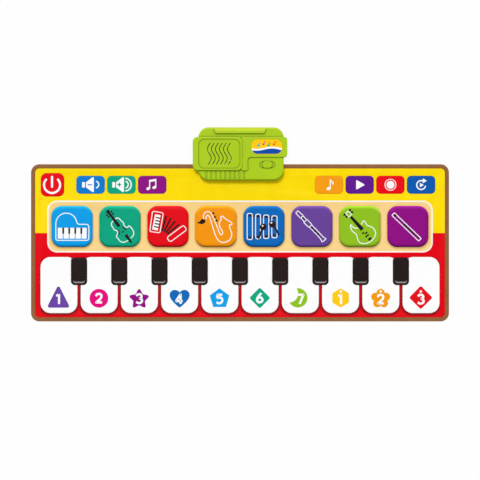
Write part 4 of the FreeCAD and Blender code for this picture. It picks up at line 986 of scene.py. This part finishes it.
def edgeRun(inset, pitch):  # places and directions along the mat's rounded edge, that far in from it
    radius = tape["corner"] - inset
    left, front = matLow[0] + inset, matLow[1] + inset
    right, rear = matHigh[0] - inset, matHigh[1] - inset
    outline = rounded([(right, front, radius), (right, rear, radius), (left, rear, radius), (left, front, radius)])
    run = []
    along = 0.0
    for start, end in zip(outline, outline[1:] + outline[:1]):
        start = Vector(start)
        side = Vector(end) - start
        while along < side.length and side.length > 1e-9:
            run.append((start + side * (along / side.length), side.normalized()))
            along += pitch
        along -= side.length
    return run


def makeStitches():  # six-sided threads of four rings, above and below the tape
    shellLow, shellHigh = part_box("front_shell")
    verts = []
    faces = []
    for side, height in ((1, matHigh[2] + 0.02 * mm), (-1, 0.25 * mm)):
        for place, along in edgeRun(stitch["inset"], stitch["pitch"]):
            if shellLow[0] + 9 * mm < place.x < shellHigh[0] - 5 * mm and place.y > 0:
                continue
            across = Vector((-along.y, along.x))
            for share, size, rise in ((-0.5, 0.35, 0.0), (-0.25, 1.0, 0.22), (0.25, 1.0, 0.22), (0.5, 0.35, 0.0)):
                spot = place + along * (share * stitch["length"])
                for corner in range(6):
                    turn = math.tau * corner / 6
                    aside = across * (math.cos(turn) * size * stitch["thick"] * 0.8)
                    up = math.sin(turn) * size * stitch["thick"] * 0.36 + rise * stitch["thick"]
                    verts.append((spot.x + aside.x, spot.y + aside.y, height + side * up * (1 if side > 0 else 0.35)))
            base = len(verts) - 24
            for ring in range(3):
                for corner in range(6):
                    a = base + ring * 6 + corner
                    b = base + ring * 6 + (corner + 1) % 6
                    quad = (a, b, b + 6, a + 6)
                    faces.append(quad if side > 0 else quad[::-1])
            first = tuple(base + corner for corner in range(6))
            last = tuple(base + 18 + corner for corner in range(6))
            faces.append(first[::-1] if side > 0 else first)
            faces.append(last if side > 0 else last[::-1])
    thread = meshFrom("binding_stitches", verts, faces)
    bpy.ops.object.shade_smooth()
    finish = Finish("thread", roughness=0.6, specular=0.3, sheen=0.2)
    finish.colour(finish.blotch(linear((120, 74, 36)), 300.0, 0.15))
    finish.bump(finish.wave("DIAGONAL", 0.4 * mm), 0.08 * mm, 0.8)
    setMaterial(thread, finish.material)
    finishPiece(thread, "mat")


cover = makeCover()
makeBinding()
makeStitches()
print("stage: cover and binding made")


def backingFinish():
    finish = Finish("nonslip_cloth", roughness=0.8, specular=0.2, sheen=0.15)
    finish.colour(finish.blotch(linear((72, 74, 80)), 50.0, 0.1))
    weave = finish.math("MULTIPLY", finish.wave("X", 0.7 * mm), finish.wave("Y", 0.7 * mm))
    finish.bump(finish.math("ADD", weave, finish.noise(500.0, 3.0)), 0.15 * mm, 0.8)
    return finish.material


grip = {"pitch": 14 * mm, "radius": 2.4 * mm, "sides": 10, "top": 0.25 * mm, "tip": 0.06 * mm, "taper": 0.8}


def makeGripDots(low, high, shellLow, shellHigh):
    points = []
    faces = []
    sides = grip["sides"]
    rows = int((high[1] - low[1] - 12 * mm) / grip["pitch"])
    columns = int((high[0] - low[0] - 12 * mm) / grip["pitch"])
    for row in range(rows + 1):
        for column in range(columns + 1):
            x = (column - columns / 2 + (0.25 if row % 2 else -0.25)) * grip["pitch"]
            y = (row - rows / 2) * grip["pitch"]
            if shellLow[0] < x < shellHigh[0] and y > shellLow[1] - 6 * mm:  # under the sound box
                continue
            base = len(points)
            for size, z in ((1.0, grip["top"]), (grip["taper"], grip["tip"])):
                for turn in [math.tau * corner / sides for corner in range(sides)]:
                    reach = size * grip["radius"]
                    points.append((x + math.cos(turn) * reach, y + math.sin(turn) * reach, z))
            for corner in range(sides):
                a = base + corner
                b = base + (corner + 1) % sides
                faces.append((b, a, a + sides, b + sides))
            faces.append(tuple(base + corner for corner in range(sides)))
            faces.append(tuple(base + sides + corner for corner in reversed(range(sides))))
    dots = meshFrom("grip_dots", points, faces)
    finish = Finish("grip_rubber", roughness=0.55, specular=0.4)
    finish.colour(finish.blotch(linear((96, 98, 104)), 200.0, 0.1))
    finish.bump(finish.noise(900.0), 0.03 * mm, 0.6)
    setMaterial(dots, finish.material)
    finishPiece(dots, "mat")


def makeBacking():
    band = tape["band"] + 0.2 * mm
    low = (matLow[0] + band, matLow[1] + band, 0.25 * mm)
    high = (matHigh[0] - band, matHigh[1] - band, 1.0 * mm)
    cloth = roundedBlock("nonslip_backing", low, high, 10 * mm, 8)
    shellLow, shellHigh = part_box("rear_shell")
    roomLow = (shellLow[0] + 5.4 * mm, shellLow[1] - 0.6 * mm, -mm)
    room = roundedBlock("room", roomLow, (shellHigh[0] - 5.4 * mm, 0.3, 0.05), 18.6 * mm, 10)
    carveAway(cloth, room)
    setMaterial(cloth, backingFinish())
    finishPiece(cloth, "mat", ["backing_cloth"])
    makeGripDots(low, high, shellLow, shellHigh)
    return cloth


backing = makeBacking()
print("stage: backing made")


# the sound box and what is in it

def paintNode(node, material):
    thing = frame["nodes"][node]
    for slotItem in thing.material_slots:
        slotItem.material = material


def clothFoam(name, colour, scale):
    finish = Finish(name, roughness=0.85, specular=0.15)
    finish.colour(finish.blotch(linear(colour), 90.0, 0.08))
    finish.bump(finish.noise(scale, 4.0, 0.7), 0.25 * mm, 0.8)
    return finish.material


# painted highlight and painted shade colours for the sound box's slopes and creases
paintedHighlightColour = (216, 228, 60)
paintedShadeColour = (104, 130, 10)
limeParts = {
    "front_shell": ("lime_plastic", (172, 206, 8), 0.34),
    "rear_shell": ("rear_lime_plastic", (162, 198, 10), 0.4),
    "battery_door": ("door_lime_plastic", (164, 200, 10), 0.4),
    "slider_knob": ("knob_lime_plastic", (166, 204, 8), 0.28),
}
innerPlastics = {
    "speaker_magnet": ("ferrite", (46, 46, 50), 0.6),
    "circuit_board": ("board_lacquer", (30, 110, 56), 0.35),
    "board_parts": ("moulded_parts", (36, 36, 40), 0.45),
    "slide_switch": ("switch_body", (70, 70, 74), 0.4),
    "switch_lever": ("lever_plastic", (24, 24, 26), 0.4),
    "wires": ("wire_jacket", (190, 26, 26), 0.45),
}
foams = {
    "speaker_cone": ("cone_paper", (34, 32, 32), 900.0),
    "foam_pad": ("padding_foam", (236, 236, 230), 700.0),
    "spacer_layer": ("spacer_foam", (240, 240, 238), 900.0),
}


def dressBox():
    for node, settings in limeParts.items():
        paintNode(node, mouldedPlastic(*settings, paintedHighlightColour, paintedShadeColour))
    for node, settings in innerPlastics.items():
        paintNode(node, mouldedPlastic(*settings))
    for node, settings in foams.items():
        paintNode(node, clothFoam(*settings))
    steel = metalFinish("plated_steel", (198, 200, 204), 0.3)
    for node in ("housing_screws", "door_screw", "battery_contacts"):
        paintNode(node, steel)
    paintNode("speaker_basket", metalFinish("pressed_steel", (90, 90, 96), 0.4))
    paintNode("contact_dots", inkFinish("carbon_ink", (28, 28, 30)))
    film = inkFinish("contact_film", (206, 209, 214))
    paintNode("lower_contact_film", film)
    paintNode("upper_contact_film", film)
    sleeve = Finish("cell_sleeve", roughness=0.35, metallic=0.6)
    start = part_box("batteries")[0][0]
    band = sleeve.spread(sleeve.axis("X"), 0.0, 1.0, start + 44 * mm, start + 44.4 * mm)
    sleeve.colour(sleeve.blotch(sleeve.mix(band, linear((40, 78, 150)), linear((206, 160, 60))), 90.0, 0.05))
    sleeve.bump(sleeve.noise(500.0), 0.02 * mm, 0.4)
    paintNode("batteries", sleeve.material)


def makeSticker():
    paintNode("label_sticker", inkFinish("sticker_yellow", (255, 205, 0)))
    low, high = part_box("label_sticker")
    half = ((high[0] - low[0]) / 2 / mm - 0.8, (high[1] - low[1]) / 2 / mm - 0.8)
    radius = 14.0
    steps = 28

    def wave(x, level, swell):
        return level + swell * math.sin((x + 6) / 11.6)

    def band(level, swell):  # the part of the sticker's field that lies under a wavy line
        outline = box(0, 0, 2 * half[0], 2 * half[1], radius)
        lower = [p for p in outline if p[1] < wave(p[0], level, swell)]
        lower.sort(key=lambda p: math.atan2(p[1] - half[1], p[0]))
        left = lower[0][0]
        right = lower[-1][0]
        across = [right + (left - right) * i / steps for i in range(steps + 1)]
        return lower + [(x, wave(x, level, swell)) for x in across]

    parts = [fill([band(-2.2, 2.6)], white, lift=0.05), fill([band(-6.8, 2.6)], (0, 72, 170), lift=0.12)]
    notes = [((-20, 6), (0, 150, 220)), ((-8, 9), (228, 0, 127)), ((4, 6.4), (0, 165, 80)),
             ((17, 8.6), (235, 60, 20))]
    for (x, y), colour in notes:
        parts.append(stroke([[(x + 2.1, y - 3), (x + 2.1, y + 4.6)]], 1.1, colour, smooth=False, lift=0.1))
        parts.append(stroke([[(x + 2.1, y + 4.4), (x + 4, y + 2.6), (x + 4.6, y + 0.4)]], 1.1, colour, lift=0.1))
        parts.append(fill([circle(x, y - 3, 2.4, steps=20)], colour, lift=0.1))
    placePrint("sticker_print", parts, "label_sticker")


dressBox()
makeSticker()
print("stage: sound box dressed")


# floor, light and camera

studio = {"floor": 14, "drop": 0.6 * mm, "glow": 0.9, "sky": 0.57, "sun": 1.46, "softness": 16, "tilt": (-22, -7)}


def makeStage():
    deselectAll()
    bpy.ops.mesh.primitive_plane_add(size=studio["floor"], location=(0, 0, -studio["drop"]))
    floor = bpy.context.object
    floor.name = "floor"
    material = bpy.data.materials.new("pale_floor")
    material.use_nodes = True
    tree = material.node_tree
    tree.nodes.clear()
    output = tree.nodes.new("ShaderNodeOutputMaterial")
    paint = tree.nodes.new("ShaderNodeBsdfDiffuse")
    paint.inputs["Color"].default_value = (0.92, 0.92, 0.92, 1)
    glow = tree.nodes.new("ShaderNodeEmission")
    glow.inputs["Color"].default_value = (1, 1, 1, 1)
    rays = tree.nodes.new("ShaderNodeLightPath")
    both = tree.nodes.new("ShaderNodeMath")
    both.operation = "MAXIMUM"
    tree.links.new(rays.outputs["Is Camera Ray"], both.inputs[0])
    tree.links.new(rays.outputs["Is Glossy Ray"], both.inputs[1])
    share = tree.nodes.new("ShaderNodeMath")
    share.operation = "MULTIPLY"
    share.inputs[1].default_value = studio["glow"]
    tree.links.new(both.outputs[0], share.inputs[0])
    mixed = tree.nodes.new("ShaderNodeMixShader")
    tree.links.new(share.outputs[0], mixed.inputs[0])
    tree.links.new(paint.outputs[0], mixed.inputs[1])
    tree.links.new(glow.outputs[0], mixed.inputs[2])
    tree.links.new(mixed.outputs[0], output.inputs[0])
    floor.data.materials.append(material)

    world = bpy.data.worlds.new("studio")
    bpy.context.scene.world = world
    world.use_nodes = True
    sky = world.node_tree
    ground = sky.nodes["Background"]
    ground.inputs["Color"].default_value = (1, 1, 1, 1)
    seen = sky.nodes.new("ShaderNodeLightPath")
    level = sky.nodes.new("ShaderNodeMapRange")
    level.inputs["To Min"].default_value = studio["sky"]
    level.inputs["To Max"].default_value = 1.0
    sky.links.new(seen.outputs["Is Camera Ray"], level.inputs["Value"])
    sky.links.new(level.outputs["Result"], ground.inputs["Strength"])

    deselectAll()
    bpy.ops.object.light_add(type="SUN", location=(0, 1, 3))
    sun = bpy.context.object
    sun.name = "key_light"
    sun.data.energy = studio["sun"]
    sun.data.angle = math.radians(studio["softness"])
    sun.rotation_euler = (math.radians(studio["tilt"][0]), math.radians(studio["tilt"][1]), 0)


def makeCamera():
    view = {"width": 1148 * mm, "lens": 100.0, "sensor": 36.0, "aim": (0.0, 6.8 * mm), "level": 6 * mm}
    data = bpy.data.cameras.new("camera")
    data.lens = view["lens"]
    data.sensor_width = view["sensor"]
    data.clip_end = 100
    camera = bpy.data.objects.new("camera", data)
    bpy.context.collection.objects.link(camera)
    height = view["width"] * view["lens"] / view["sensor"]
    camera.location = (view["aim"][0], view["aim"][1], view["level"] + height)
    camera.rotation_euler = (0, 0, 0)
    bpy.context.scene.camera = camera


makeStage()
makeCamera()
bpy.context.scene.view_settings.view_transform = "Standard"
deselectAll()

print("stage: done")
